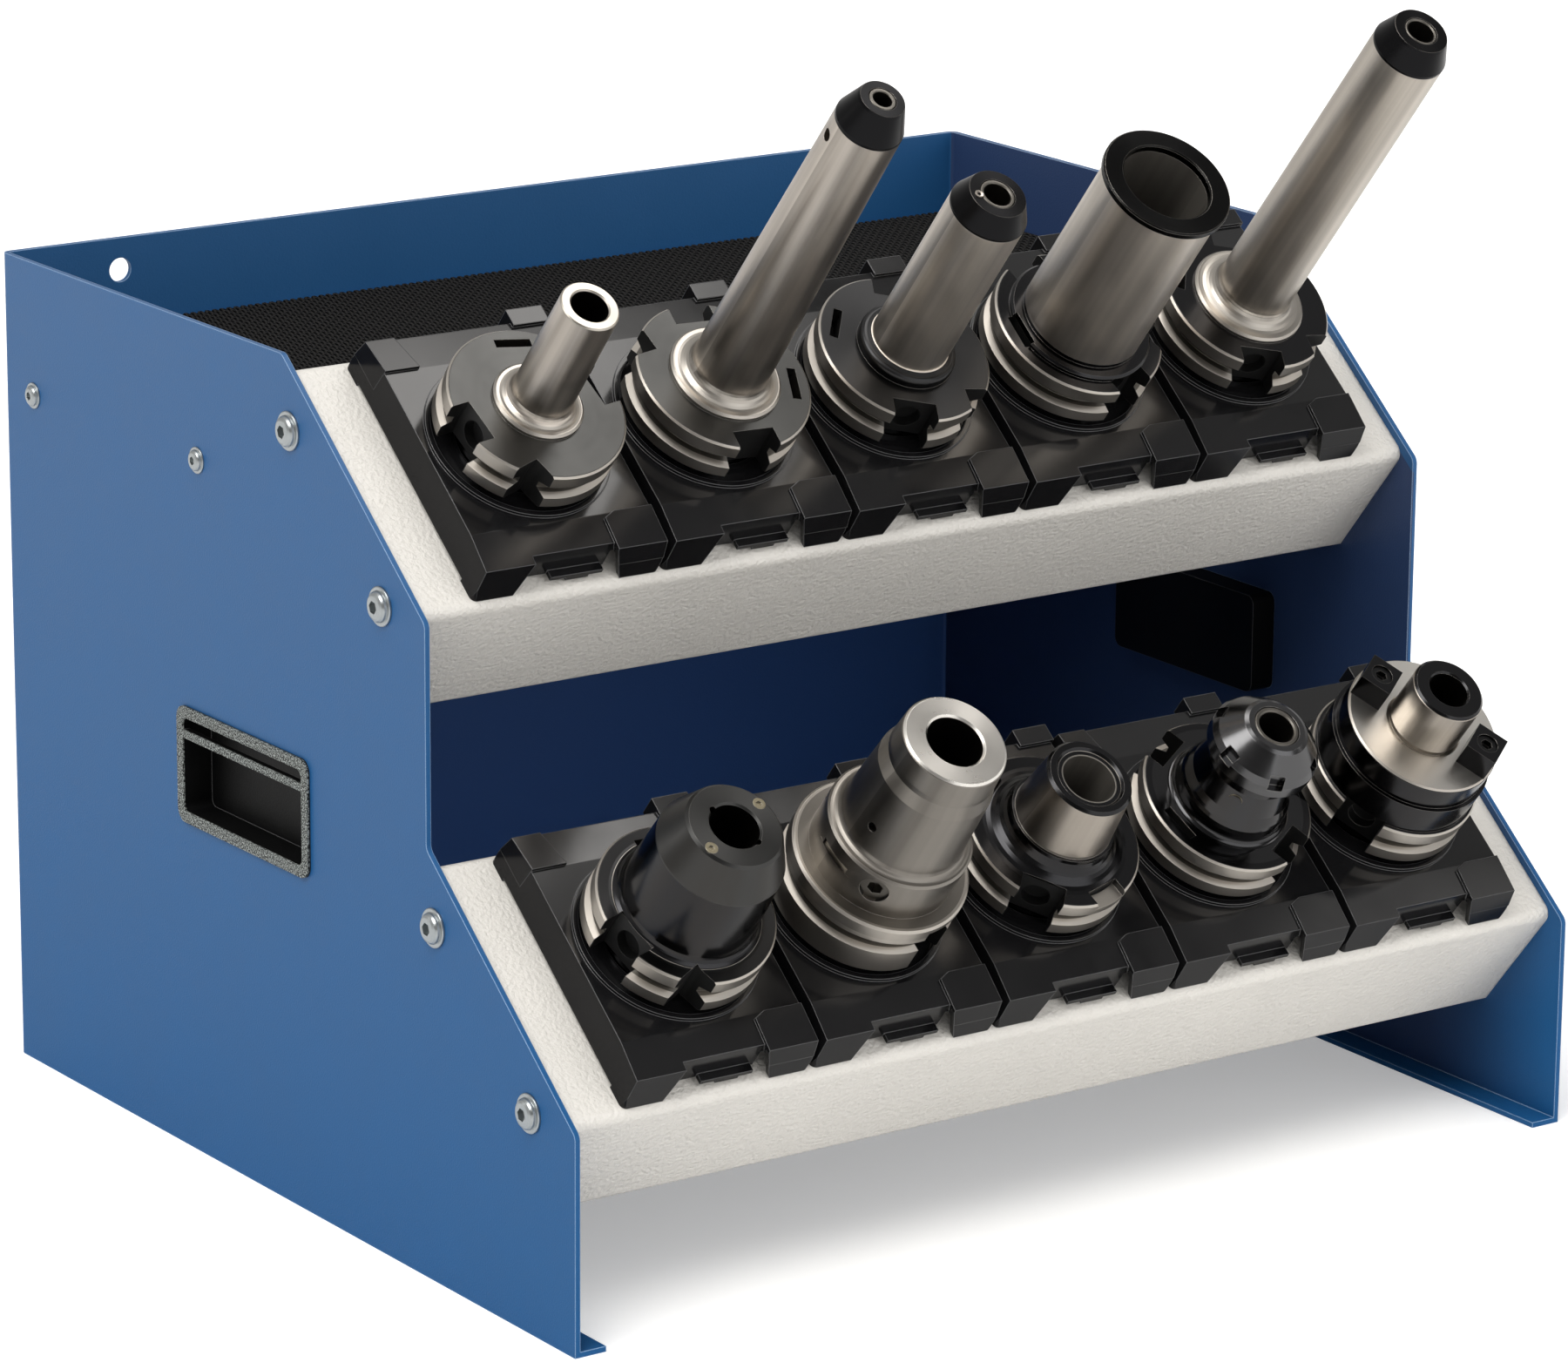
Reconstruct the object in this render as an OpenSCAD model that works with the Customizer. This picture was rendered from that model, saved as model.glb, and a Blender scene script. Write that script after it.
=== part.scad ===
// Bench rack for ten steep-taper tool holders: two sloping tiers and a matted top shelf.
// Millimetres. X runs along the tiers, Y from front to back, Z up from the bench.
// The origin is the middle of the footprint, with the leaning holders counted in.

/* [Casing] */
// Outside width of the folded sheet casing
casing_w = 420; // [416:1:520]
// Outside depth, from the front edge to the back panel
casing_d = 374; // [368:1:440]
// Height of the back panel
casing_h = 300; // [296:1:340]
// Height of the front edge of the side panels
front_h = 76; // [70:1:90]
// Sheet thickness of the casing
sheet_t = 2; // [1.2:0.1:3]
// Outside radius of the folded back corners
bend_r = 3.5; // [3.2:0.1:8]
// Width of the flanges folded in along the bottom
foot_w = 12; // [8:1:30]
// Radius on the free corners of the side panels
panel_corner_r = 4; // [1:0.5:8]
// Diameter of the two hanging holes in the back panel
hang_hole_d = 8.8; // [5:0.1:10]
// Distance between the hanging holes
hang_span = 325.6; // [200:0.1:340]
// Depth of the hanging holes below the top edge
hang_drop = 11.8; // [8:0.1:14]

/* [Tiers] */
// Slope of both tiers, in degrees
tier_tilt = 39.5; // [37:0.5:42]
// Length of each sloping edge of the side panels
slope_len = 116; // [114:1:122]
// Spacing of the holders along a tier
pitch = 75; // [75:0.5:78]

/* [Trays] */
// Sheet thickness of the trays
tray_t = 2; // [1.2:0.1:3]
// Length of a tray along the slope
tray_len = 107.2; // [106:0.1:109]
// Set-back of a tray from the front corner of the slope
tray_inset = 5; // [3:0.1:6]
// Depth of the tray surface below the sloping edge
tray_drop = 2.8; // [1:0.1:6]
// Depth of the front lip
lip_h = 52.6; // [40:0.1:56]
// Depth of the side and rear flanges
tray_flange_h = 24; // [22:1:30]
// Outside radius of the tray folds
tray_bend_r = 4; // [3.5:0.1:6]
// Diameter of the holes that take the inserts
tray_hole_d = 52; // [48:0.5:56]

/* [Shelf] */
// Depth of the top of the rubber mat below the top edge
mat_drop = 30; // [20:1:42]
// Thickness of the mat
mat_t = 3; // [2:0.1:5]
// Spacing of the ribs on the mat
rib_pitch = 3; // [2:0.1:6]
// Depth of the grooves between the ribs
rib_h = 0.9; // [0.4:0.1:1.5]
// Depth of the shelf from front to back
shelf_d = 156; // [120:1:165]
// Sheet thickness of the shelf
shelf_t = 2; // [1.2:0.1:3]
// Depth of the shelf flanges
shelf_flange_h = 28; // [24:1:36]

/* [Grips] */
// Length of the recessed grip
grip_l = 88; // [70:1:120]
// Height of the recessed grip
grip_h = 42; // [34:1:60]
// Depth of the grip's well behind the panel
grip_depth = 12; // [8:0.5:20]
// Height of the grip's centre above the bench
grip_z = 141; // [110:1:150]
// Set-back of the grip's centre from the casing's middle
grip_y = 20.6; // [0:0.1:60]
// Width of the grip's rim
grip_rim = 2.4; // [1.5:0.1:4]
// Wall of the grip's well
grip_wall = 1.6; // [1:0.1:2.5]
// How far the grip's rim stands proud of the panel
grip_proud = 1.2; // [0.6:0.1:3]
// Height of the finger lip across the grip
grip_lip_h = 2.8; // [1.5:0.1:6]

/* [Screws] */
// Thread diameter of the tray screws
tray_screw_d = 6; // [4:1:8]
// Head diameter of the tray screws
tray_head_d = 13.6; // [10:0.1:17]
// Distance between the two screws at each end of a tray
tray_screw_span = 75; // [50:1:80]
// Depth of the tray screws below the tray surface
tray_screw_drop = 14; // [12:0.5:15]
// Thread diameter of the shelf screws
shelf_screw_d = 4; // [3:1:6]
// Head diameter of the shelf screws
shelf_head_d = 9.4; // [8:0.1:13]
// Distance between the two screws at each end of the shelf
shelf_screw_span = 115.7; // [60:0.1:118]
// Depth of the shelf screws below the mat
shelf_screw_drop = 18.3; // [17:0.1:20]

/* [Inserts] */
// Length of an insert along the slope
insert_l = 102; // [98:0.5:104]
// Height of the insert's deck above the tray
deck_h = 15; // [12:0.5:18]
// Height of the insert's front and back edges
edge_h = 13.2; // [9:0.1:13.6]
// Distance of the two deck creases from the socket's axis
crease_y = 34.6; // [34:0.1:40]
// Gap between neighbouring inserts at their feet
insert_gap = 1; // [0.4:0.1:3]
// Draft of the insert's sides, from foot to deck
insert_draft = 1.7; // [0.5:0.1:3]
// Wall of the moulding
insert_wall = 2; // [1.5:0.1:3]
// Outside diameter of the raised rim round the socket
rim_d = 66; // [64.5:0.1:67]
// Height of the raised rim above the deck
rim_h = 1.2; // [0.5:0.1:1.5]
// Length of the socket sleeve below the tray
sleeve_l = 14; // [8:0.5:20]
// Gap between the socket and the taper in it
socket_gap = 0.3; // [0.2:0.05:0.5]

/* [Taper] */
// Diameter at the gauge line
gauge_d = 44.45; // [40:0.05:46]
// Length of the taper below the gauge line
taper_l = 68.4; // [60:0.1:80]
// Height of the gauge line above the tray
seat_h = 15.4; // [14:0.1:17]
// Diameter of the gripper flange
flange_d = 63.55; // [60:0.05:66]
// Height of the flange's underside above the gauge line
flange_z = 3.2; // [3:0.1:4]
// Thickness of the gripper flange
flange_t = 15.9; // [14:0.1:18]
// Height of the gripper groove's middle above the gauge line
groove_z = 11.1; // [10:0.1:12]
// Width of the drive slots
slot_w = 16.1; // [12:0.1:18]
// Distance of a drive slot's floor from the axis
slot_floor = 23.6; // [23:0.1:25]
// Diameter of the pocket for a data carrier
chip_d = 10; // [6:0.1:10]
// Length of the pull stud below the taper
stud_l = 26; // [22:0.5:30]
// Diameter of the pull stud's knob
stud_knob_d = 19; // [16:0.1:20]

/* [Upper holder 1] */
// Length from the gauge line to the nose
u1_len = 69.5; // [50:0.5:90]
// Diameter of the nose
u1_nose_d = 20.6; // [16:0.1:24]
// Diameter of the collar on the flange
u1_collar_d = 32; // [30:0.1:44]
// Diameter of the tool bore
u1_bore_d = 13.2; // [6:0.1:14]

/* [Upper holder 2] */
// Length from the gauge line to the nose
u2_len = 160; // [120:0.5:165]
// Diameter of the shank below the nose nut
u2_shank_d = 24; // [20:0.1:26]
// Diameter of the shank at its root
u2_root_d = 27.4; // [24:0.1:30]
// Diameter of the collar on the flange
u2_collar_d = 40; // [38:0.1:46]
// Length of the nose nut
u2_nut_l = 12; // [8:0.1:20]
// Diameter of the nose nut's face
u2_face_d = 15.6; // [13:0.1:18]

/* [Upper holder 3] */
// Length from the gauge line to the nose
u3_len = 100.6; // [80:0.5:120]
// Diameter of the shank
u3_shank_d = 28; // [24:0.1:30]
// Diameter of the hub on the flange
u3_hub_d = 35.6; // [34:0.1:44]
// Length of the nose nut
u3_nut_l = 8.6; // [6:0.1:14]
// Diameter of the nose nut's face
u3_face_d = 20.6; // [18:0.1:23]

/* [Upper holder 4] */
// Length from the gauge line to the nose
u4_len = 94.6; // [70:0.5:120]
// Diameter of the tube
u4_tube_d = 44; // [40:0.1:46]
// Diameter of the end ring
u4_ring_d = 47.4; // [47:0.1:50]
// Thickness of the end ring
u4_ring_t = 2.8; // [2:0.1:5]
// Diameter of the bore
u4_bore_d = 32.4; // [24:0.1:34]
// Diameter of the collar on the flange
u4_collar_d = 53; // [50:0.1:56]

/* [Upper holder 5] */
// Length from the gauge line to the nose
u5_len = 161; // [120:0.5:165]
// Diameter of the shank
u5_shank_d = 27; // [24:0.1:30]
// Diameter of the collar on the flange
u5_collar_d = 42; // [40:0.1:48]
// Length of the nose nut
u5_nut_l = 9.6; // [7:0.1:16]
// Diameter of the nose nut's face
u5_face_d = 19.6; // [17:0.1:21]

/* [Lower holder 1] */
// Length from the gauge line to the nose
l1_len = 62.8; // [55:0.5:75]
// Diameter of the nose face
l1_face_d = 34.2; // [32:0.1:38]
// Diameter of the body
l1_body_d = 47.4; // [44:0.1:50]
// Length of the cone behind the nose face
l1_cone_l = 13; // [8:0.1:20]
// Diameter of the tool bore
l1_bore_d = 17.3; // [12:0.1:18]

/* [Lower holder 2] */
// Length from the gauge line to the nose
l2_len = 89.6; // [80:0.5:100]
// Diameter of the nose
l2_nose_d = 37; // [34:0.1:40]
// Diameter of the tool bore
l2_bore_d = 19.8; // [12:0.1:22]
// Diameter of the hub
l2_hub_d = 52; // [48:0.1:56]
// Thickness of the tall flange
l2_flange_t = 22.6; // [20:0.1:24]
// Diameter of the clamp screw
l2_screw_d = 10; // [6:0.1:12]

/* [Lower holder 3] */
// Length from the gauge line to the nose
l3_len = 49.8; // [44:0.5:70]
// Diameter of the nose
l3_nose_d = 31.2; // [28:0.1:34]
// Diameter of the tool bore
l3_bore_d = 19.2; // [12:0.1:22]
// Diameter of the sleeve where it leaves the hub
l3_root_d = 35.6; // [34:0.1:40]

/* [Lower holder 4] */
// Length from the gauge line to the collet nut's face
l4_len = 59.4; // [56:0.5:70]
// Diameter of the collet nut
l4_nut_d = 39.6; // [36:0.1:42]
// Length of the collet nut
l4_nut_l = 15.7; // [14:0.1:18]
// Diameter of the collet nut's face
l4_face_d = 21; // [19:0.1:26]
// Diameter of the collet's bore
l4_bore_d = 12.8; // [6:0.1:14]
// Diameter of the domed hub
l4_dome_d = 40.8; // [38:0.1:50]

/* [Lower holder 5] */
// Length from the gauge line to the top of the spigot
l5_len = 62; // [56:0.5:70]
// Diameter of the spigot
l5_spigot_d = 26.6; // [22:0.1:30]
// Height of the contact face above the gauge line
l5_face_z = 41.2; // [36:0.1:46]
// Diameter of the contact face
l5_face_d = 57.6; // [54:0.1:60]
// Width of the drive keys
l5_key_w = 13; // [10:0.1:16]
// Height of the drive keys above the contact face
l5_key_h = 9.4; // [6:0.1:12]
// Diameter of the hole in the spigot
l5_bore_d = 14.4; // [8:0.1:16]

/* [Hidden] */
$fn = 72;

// Overrun for every cut
over = 1;
// Slack between a screw and what it passes through, on the radius
slack = 0.05;
tier_count = 5;
arc_steps = 8;

// Places of the side panel's corners
slope_run = slope_len * cos(tier_tilt);
slope_rise = slope_len * sin(tier_tilt);
front_y = -casing_d / 2;
back_y = casing_d / 2;
step_y = front_y + slope_run;
top_y = step_y + slope_run;
step_low_z = front_h + slope_rise;
step_high_z = casing_h - slope_rise;
inner_w = casing_w - 2 * sheet_t;

// Middle of each tray's top surface
tier_u = tray_inset + tray_len / 2;
function tier_place(corner_y, corner_z) = [0,
    corner_y + tier_u * cos(tier_tilt) + tray_drop * sin(tier_tilt),
    corner_z + tier_u * sin(tier_tilt) - tray_drop * cos(tier_tilt)];
upper_place = tier_place(step_y, step_high_z);
lower_place = tier_place(front_y, front_h);

// Reach of the foremost nose, which sets the middle of the footprint
nose_edge = 1;
l2_reach = (seat_h + l2_len) * sin(tier_tilt) + (l2_nose_d / 2 - nose_edge) * cos(tier_tilt);
l2_side_reach = (seat_h + l2_len - nose_edge) * sin(tier_tilt) + l2_nose_d / 2 * cos(tier_tilt);
reach_y = lower_place[1] - max(l2_reach, l2_side_reach);
shift_y = -(reach_y + back_y) / 2;

// Taper and flange
gauge_r = gauge_d / 2;
taper_k = 7 / 48;
taper_end_r = gauge_r - taper_l * taper_k;
flange_r = flange_d / 2;
flange_top = flange_z + flange_t;
groove_r = flange_r - 0.115 * flange_r;
groove_half = 0.088 * flange_d / 2;
groove_floor_half = groove_half / 2.4;
flange_edge = flange_r / 40;
stud_thread_r = taper_end_r * 0.65;
stud_thread_l = taper_l * 0.3;
coolant_r = stud_thread_r * 0.4;

module placed() {
    translate([0, shift_y, 0])
        children();
}

// Tier frame: X along the tier, Y up the slope, Z square to the tray, zero on its surface
module on_tier(place, i = (tier_count + 1) / 2) {
    placed()
        translate([(i - (tier_count + 1) / 2) * pitch, 0, 0] + place)
            rotate([tier_tilt, 0, 0])
                children();
}

module at_upper(i) {
    on_tier(upper_place, i)
        translate([0, 0, seat_h])
            children();
}

module at_lower(i) {
    on_tier(lower_place, i)
        translate([0, 0, seat_h])
            children();
}

// Points of an arc in a profile
function arc(c, r, a, b) =
    [for (i = [0:arc_steps]) c + r * [cos(a + (b - a) * i / arc_steps), sin(a + (b - a) * i / arc_steps)]];

// One corner of an outline, rounded between its two neighbours
function unit(v) = v / norm(v);
function rounded(p, i, r) =
    let (n = len(p), a = unit(p[(i + n - 1) % n] - p[i]), b = unit(p[(i + 1) % n] - p[i]),
        half = acos(a * b) / 2, t = r / tan(half), c = p[i] + unit(a + b) * r / sin(half),
        s = p[i] + a * t - c, e = p[i] + b * t - c,
        a0 = atan2(s[1], s[0]), d = atan2(e[1], e[0]) - a0,
        sweep = d > 180 ? d - 360 : (d < -180 ? d + 360 : d))
    [for (k = [0:arc_steps]) c + r * [cos(a0 + sweep * k / arc_steps), sin(a0 + sweep * k / arc_steps)]];
function rounded_outline(p, r) =
    [for (i = [0:len(p) - 1]) each (r[i] > 0 ? rounded(p, i, r[i]) : [p[i]])];

// Extrude an outline drawn in Y and Z along X, centred
module along_x(w, points) {
    rotate([90, 0, 90])
        linear_extrude(w, center = true)
            polygon(points);
}

// Rounded rectangle lying in XY
module rounded_plate(l, w, t, r) {
    linear_extrude(t)
        polygon(rounded_outline([[-l, -w] / 2, [l, -w] / 2, [l, w] / 2, [-l, w] / 2], [r, r, r, r]));
}

// Casing

module casing_outline_x(w) {
    corners = [[front_y, 0], [back_y, 0], [back_y, casing_h], [top_y, casing_h],
        [step_y, step_high_z], [step_y, step_low_z], [front_y, front_h]];
    r = panel_corner_r;
    along_x(w, rounded_outline(corners, [0, 0, 0, r, r, r, r]));
}

module casing_plan(h) {
    inner_r = bend_r - sheet_t;
    hw = casing_w / 2;
    hi = inner_w / 2;
    linear_extrude(h)
        difference() {
            polygon(rounded_outline([[-hw, front_y], [hw, front_y], [hw, back_y], [-hw, back_y]],
                [0, 0, bend_r, bend_r]));
            polygon(rounded_outline([[-hi, front_y - over], [hi, front_y - over],
                [hi, back_y - sheet_t], [-hi, back_y - sheet_t]], [0, 0, inner_r, inner_r]));
        }
}

// Flanges folded in along the bottom, left, right and back
module foot_flanges() {
    hw = casing_w / 2 - sheet_t / 2;
    hi = casing_w / 2 - foot_w;
    linear_extrude(sheet_t)
        difference() {
            polygon([[-hw, front_y], [hw, front_y], [hw, back_y - sheet_t / 2], [-hw, back_y - sheet_t / 2]]);
            polygon([[-hi, front_y - over], [hi, front_y - over], [hi, back_y - foot_w],
                [-hi, back_y - foot_w]]);
        }
}

module tier_screw_places(place) {
    placed()
        translate(place)
            rotate([tier_tilt, 0, 0])
                for (s = [-1, 1])
                    translate([0, s * tray_screw_span / 2, -tray_screw_drop])
                        rotate([0, 90, 0])
                            children();
}

mat_top_z = casing_h - mat_drop;
shelf_z = mat_top_z - mat_t;
shelf_screw_z = mat_top_z - shelf_screw_drop;
shelf_mid_y = back_y - sheet_t - shelf_d / 2;

module shelf_screw_places() {
    placed()
        for (s = [-1, 1])
            translate([0, shelf_mid_y + s * shelf_screw_span / 2, shelf_screw_z])
                rotate([0, 90, 0])
                    children();
}

module through_x(d) {
    cylinder(d = d, h = casing_w + 2 * over, center = true);
}

grip_corner_r = grip_rim * 2;
well_l = grip_l - 2 * grip_rim;
well_h = grip_h - 2 * grip_rim;
well_corner_r = grip_corner_r - grip_rim / 2;

module casing() {
    color([0.13, 0.33, 0.62])
        difference() {
            placed()
                union() {
                    intersection() {
                        casing_plan(casing_h);
                        casing_outline_x(casing_w + over);
                    }
                    foot_flanges();
                }
            placed()
                for (s = [-1, 1])
                    translate([s * hang_span / 2, back_y - sheet_t / 2, casing_h - hang_drop])
                        rotate([90, 0, 0])
                            cylinder(d = hang_hole_d, h = sheet_t + 2 * over, center = true);
            tier_screw_places(upper_place)
                through_x(tray_screw_d + 2 * slack);
            tier_screw_places(lower_place)
                through_x(tray_screw_d + 2 * slack);
            shelf_screw_places()
                through_x(shelf_screw_d + 2 * slack);
            placed()
                translate([-casing_w / 2 - over, grip_y, grip_z])
                    rotate([90, 0, 90])
                        rounded_plate(well_l, well_h, casing_w + 2 * over, well_corner_r);
        }
}

// Trays

module tray(place) {
    hl = tray_len / 2;
    t = tray_t;
    ri = tray_bend_r - t;
    ro = tray_bend_r;
    section = rounded_outline([[-hl, -lip_h], [-hl, 0], [hl, 0], [hl, -tray_flange_h],
        [hl - t, -tray_flange_h], [hl - t, -t], [-hl + t, -t], [-hl + t, -lip_h]],
        [0, ro, ro, 0, 0, ri, ri, 0]);
    difference() {
        placed()
            translate(place)
                rotate([tier_tilt, 0, 0])
                    union() {
                        along_x(inner_w, section);
                        for (s = [-1, 1])
                            translate([s * (inner_w - t) / 2, 0, -tray_flange_h / 2])
                                cube([t, tray_len - 2 * ro, tray_flange_h], center = true);
                    }
        tier_screw_places(place)
            through_x(tray_screw_d + 2 * slack);
        for (i = [1:tier_count])
            on_tier(place, i)
                translate([0, 0, -t - over])
                    cylinder(d = tray_hole_d, h = t + 2 * over);
    }
}

module upper_tray() {
    color([0.8, 0.78, 0.74])
        tray(upper_place);
}

module lower_tray() {
    color([0.8, 0.78, 0.74])
        tray(lower_place);
}

// Shelf and its mat

module top_shelf() {
    t = shelf_t;
    hd = shelf_d / 2;
    ro = t + t / 2;
    section = rounded_outline([[-hd, -shelf_flange_h], [-hd, 0], [hd, 0], [hd, -shelf_flange_h],
        [hd - t, -shelf_flange_h], [hd - t, -t], [-hd + t, -t], [-hd + t, -shelf_flange_h]],
        [0, ro, 0, 0, 0, 0, ro - t, 0]);
    color([0.13, 0.33, 0.62])
        difference() {
            placed()
                translate([0, shelf_mid_y, shelf_z])
                    union() {
                        along_x(inner_w, section);
                        for (s = [-1, 1])
                            translate([s * (inner_w - t) / 2, 0, -shelf_flange_h / 2])
                                cube([t, shelf_d - 2 * ro, shelf_flange_h], center = true);
                    }
            shelf_screw_places()
                through_x(shelf_screw_d + 2 * slack);
            // Corner reliefs clear of the casing's folds
            placed()
                for (s = [-1, 1])
                    translate([s * inner_w / 2, back_y - sheet_t, shelf_z])
                        cube([2 * bend_r, 2 * bend_r, 2 * shelf_flange_h + over], center = true);
        }
}

module shelf_mat() {
    w = inner_w - bend_r;
    count = floor(w / rib_pitch);
    side = (w - count * rib_pitch) / 2;
    flank = rib_pitch / 5;
    teeth = [for (i = [0:count - 1]) let (x = -w / 2 + side + i * rib_pitch)
        each [[x, mat_t - rib_h], [x + flank, mat_t], [x + rib_pitch - 2 * flank, mat_t],
            [x + rib_pitch - flank, mat_t - rib_h]]];
    outline = concat([[w / 2, 0], [-w / 2, 0], [-w / 2, mat_t - rib_h]], teeth, [[w / 2, mat_t - rib_h]]);
    color([0.07, 0.07, 0.08])
        placed()
            translate([0, shelf_mid_y - bend_r / 2, shelf_z])
                rotate([90, 0, 0])
                    linear_extrude(shelf_d - bend_r, center = true)
                        polygon(outline);
}

// Recessed grips

module grip(side) {
    rim_l = grip_l;
    t = grip_wall;
    lip_drop = well_h / 6;
    color([0.16, 0.16, 0.17])
        placed()
            translate([side * casing_w / 2, grip_y, grip_z])
                rotate([90, 0, 90])
                    mirror([0, 0, side > 0 ? 0 : 1])
                        difference() {
                            union() {
                                rounded_plate(rim_l, grip_h, grip_proud, grip_corner_r);
                                translate([0, 0, -grip_depth])
                                    rounded_plate(well_l - 2 * slack, well_h - 2 * slack,
                                        grip_depth + grip_proud / 2, well_corner_r);
                            }
                            difference() {
                                translate([0, 0, t - grip_depth])
                                    rounded_plate(well_l - 2 * t, well_h - 2 * t,
                                        grip_depth + grip_proud + over, well_corner_r - t / 2);
                                translate([-rim_l / 2, well_h / 2 - lip_drop - grip_lip_h, -t])
                                    cube([rim_l, grip_lip_h, t + grip_proud]);
                            }
                        }
}

module left_grip() {
    grip(-1);
}

module right_grip() {
    grip(1);
}

// Screws and nuts, drawn along their own axis and set at both ends

// Low button head with a washer face and a hexagon socket
module button_screw(d, head_d, grip_t) {
    head_h = d * 0.55;
    washer_t = head_h * 0.3;
    dome_r = head_d / 2 * 0.8;
    hex_d = d * 0.67 / cos(30);
    shank_l = grip_t + d;
    difference() {
        rotate_extrude()
            polygon(concat([[0, -shank_l], [d * 0.42, -shank_l], [d / 2, d * 0.08 - shank_l], [d / 2, 0],
                [head_d / 2, 0], [head_d / 2, washer_t * 0.7], [head_d / 2 - washer_t * 0.3, washer_t]],
                [for (a = [0:15:60]) [dome_r * cos(a), washer_t + (head_h - washer_t) * sin(a * 1.5)]],
                [[0, head_h]]));
        translate([0, 0, head_h * 0.35])
            cylinder(d = hex_d, h = head_h, $fn = 6);
    }
}

module nut(d) {
    h = d * 0.8;
    w = d * 1.66 / cos(30);
    difference() {
        intersection() {
            cylinder(d = w, h = h, $fn = 6);
            union() {
                cylinder(d1 = w, d2 = w * 0.88, h = h);
                cylinder(d = w, h = h * 0.75);
            }
        }
        translate([0, 0, -over])
            cylinder(d = d + 2 * slack, h = h + 2 * over);
    }
}

module both_ends(x) {
    for (s = [0, 1])
        mirror([0, 0, s])
            translate([0, 0, x])
                children();
}

module tray_screws() {
    color([0.72, 0.74, 0.77]) {
        tier_screw_places(upper_place)
            both_ends(casing_w / 2)
                button_screw(tray_screw_d, tray_head_d, sheet_t + tray_t);
        tier_screw_places(lower_place)
            both_ends(casing_w / 2)
                button_screw(tray_screw_d, tray_head_d, sheet_t + tray_t);
    }
}

module tray_nuts() {
    color([0.72, 0.74, 0.77]) {
        tier_screw_places(upper_place)
            both_ends(inner_w / 2 - tray_t)
                mirror([0, 0, 1])
                    nut(tray_screw_d);
        tier_screw_places(lower_place)
            both_ends(inner_w / 2 - tray_t)
                mirror([0, 0, 1])
                    nut(tray_screw_d);
    }
}

module shelf_screws() {
    color([0.72, 0.74, 0.77])
        shelf_screw_places()
            both_ends(casing_w / 2)
                button_screw(shelf_screw_d, shelf_head_d, sheet_t + shelf_t);
}

module shelf_nuts() {
    color([0.72, 0.74, 0.77])
        shelf_screw_places()
            both_ends(inner_w / 2 - shelf_t)
                mirror([0, 0, 1])
                    nut(shelf_screw_d);
}

// Inserts

// Drafted block with the two sloping ends of the deck, grown by g on every side
module insert_block(g) {
    hl = insert_l / 2 + g;
    hw = (pitch - insert_gap) / 2 + g;
    end_draft = insert_draft * 1.2;
    intersection() {
        along_x(2 * hw, [[-hl, -over], [-hl, 0], [-hl + end_draft, edge_h + g], [-crease_y, deck_h + g],
            [crease_y, deck_h + g], [hl - end_draft, edge_h + g], [hl, 0], [hl, -over]]);
        rotate([90, 0, 0])
            linear_extrude(2 * hl, center = true)
                polygon([[-hw, -over], [-hw, 0], [-hw + insert_draft, deck_h + g],
                    [hw - insert_draft, deck_h + g], [hw, 0], [hw, -over]]);
    }
}

// Slab on z = 0 with four round upright corners
module rounded_slab(w, l, h, r) {
    translate([r - w / 2, -l / 2, 0])
        cube([w - 2 * r, l, h]);
    translate([-w / 2, r - l / 2, 0])
        cube([w, l - 2 * r, h]);
    for (x = [-1, 1])
        for (y = [-1, 1])
            translate([x * (w / 2 - r), y * (l / 2 - r), 0])
                cylinder(r = r, h = h);
}

// Taper of a holder as it sits in its insert, grown by g on the radius
module seated_taper(g) {
    translate([0, 0, seat_h - taper_l])
        cylinder(r1 = taper_end_r + g, r2 = gauge_r + g, h = taper_l);
}

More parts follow.
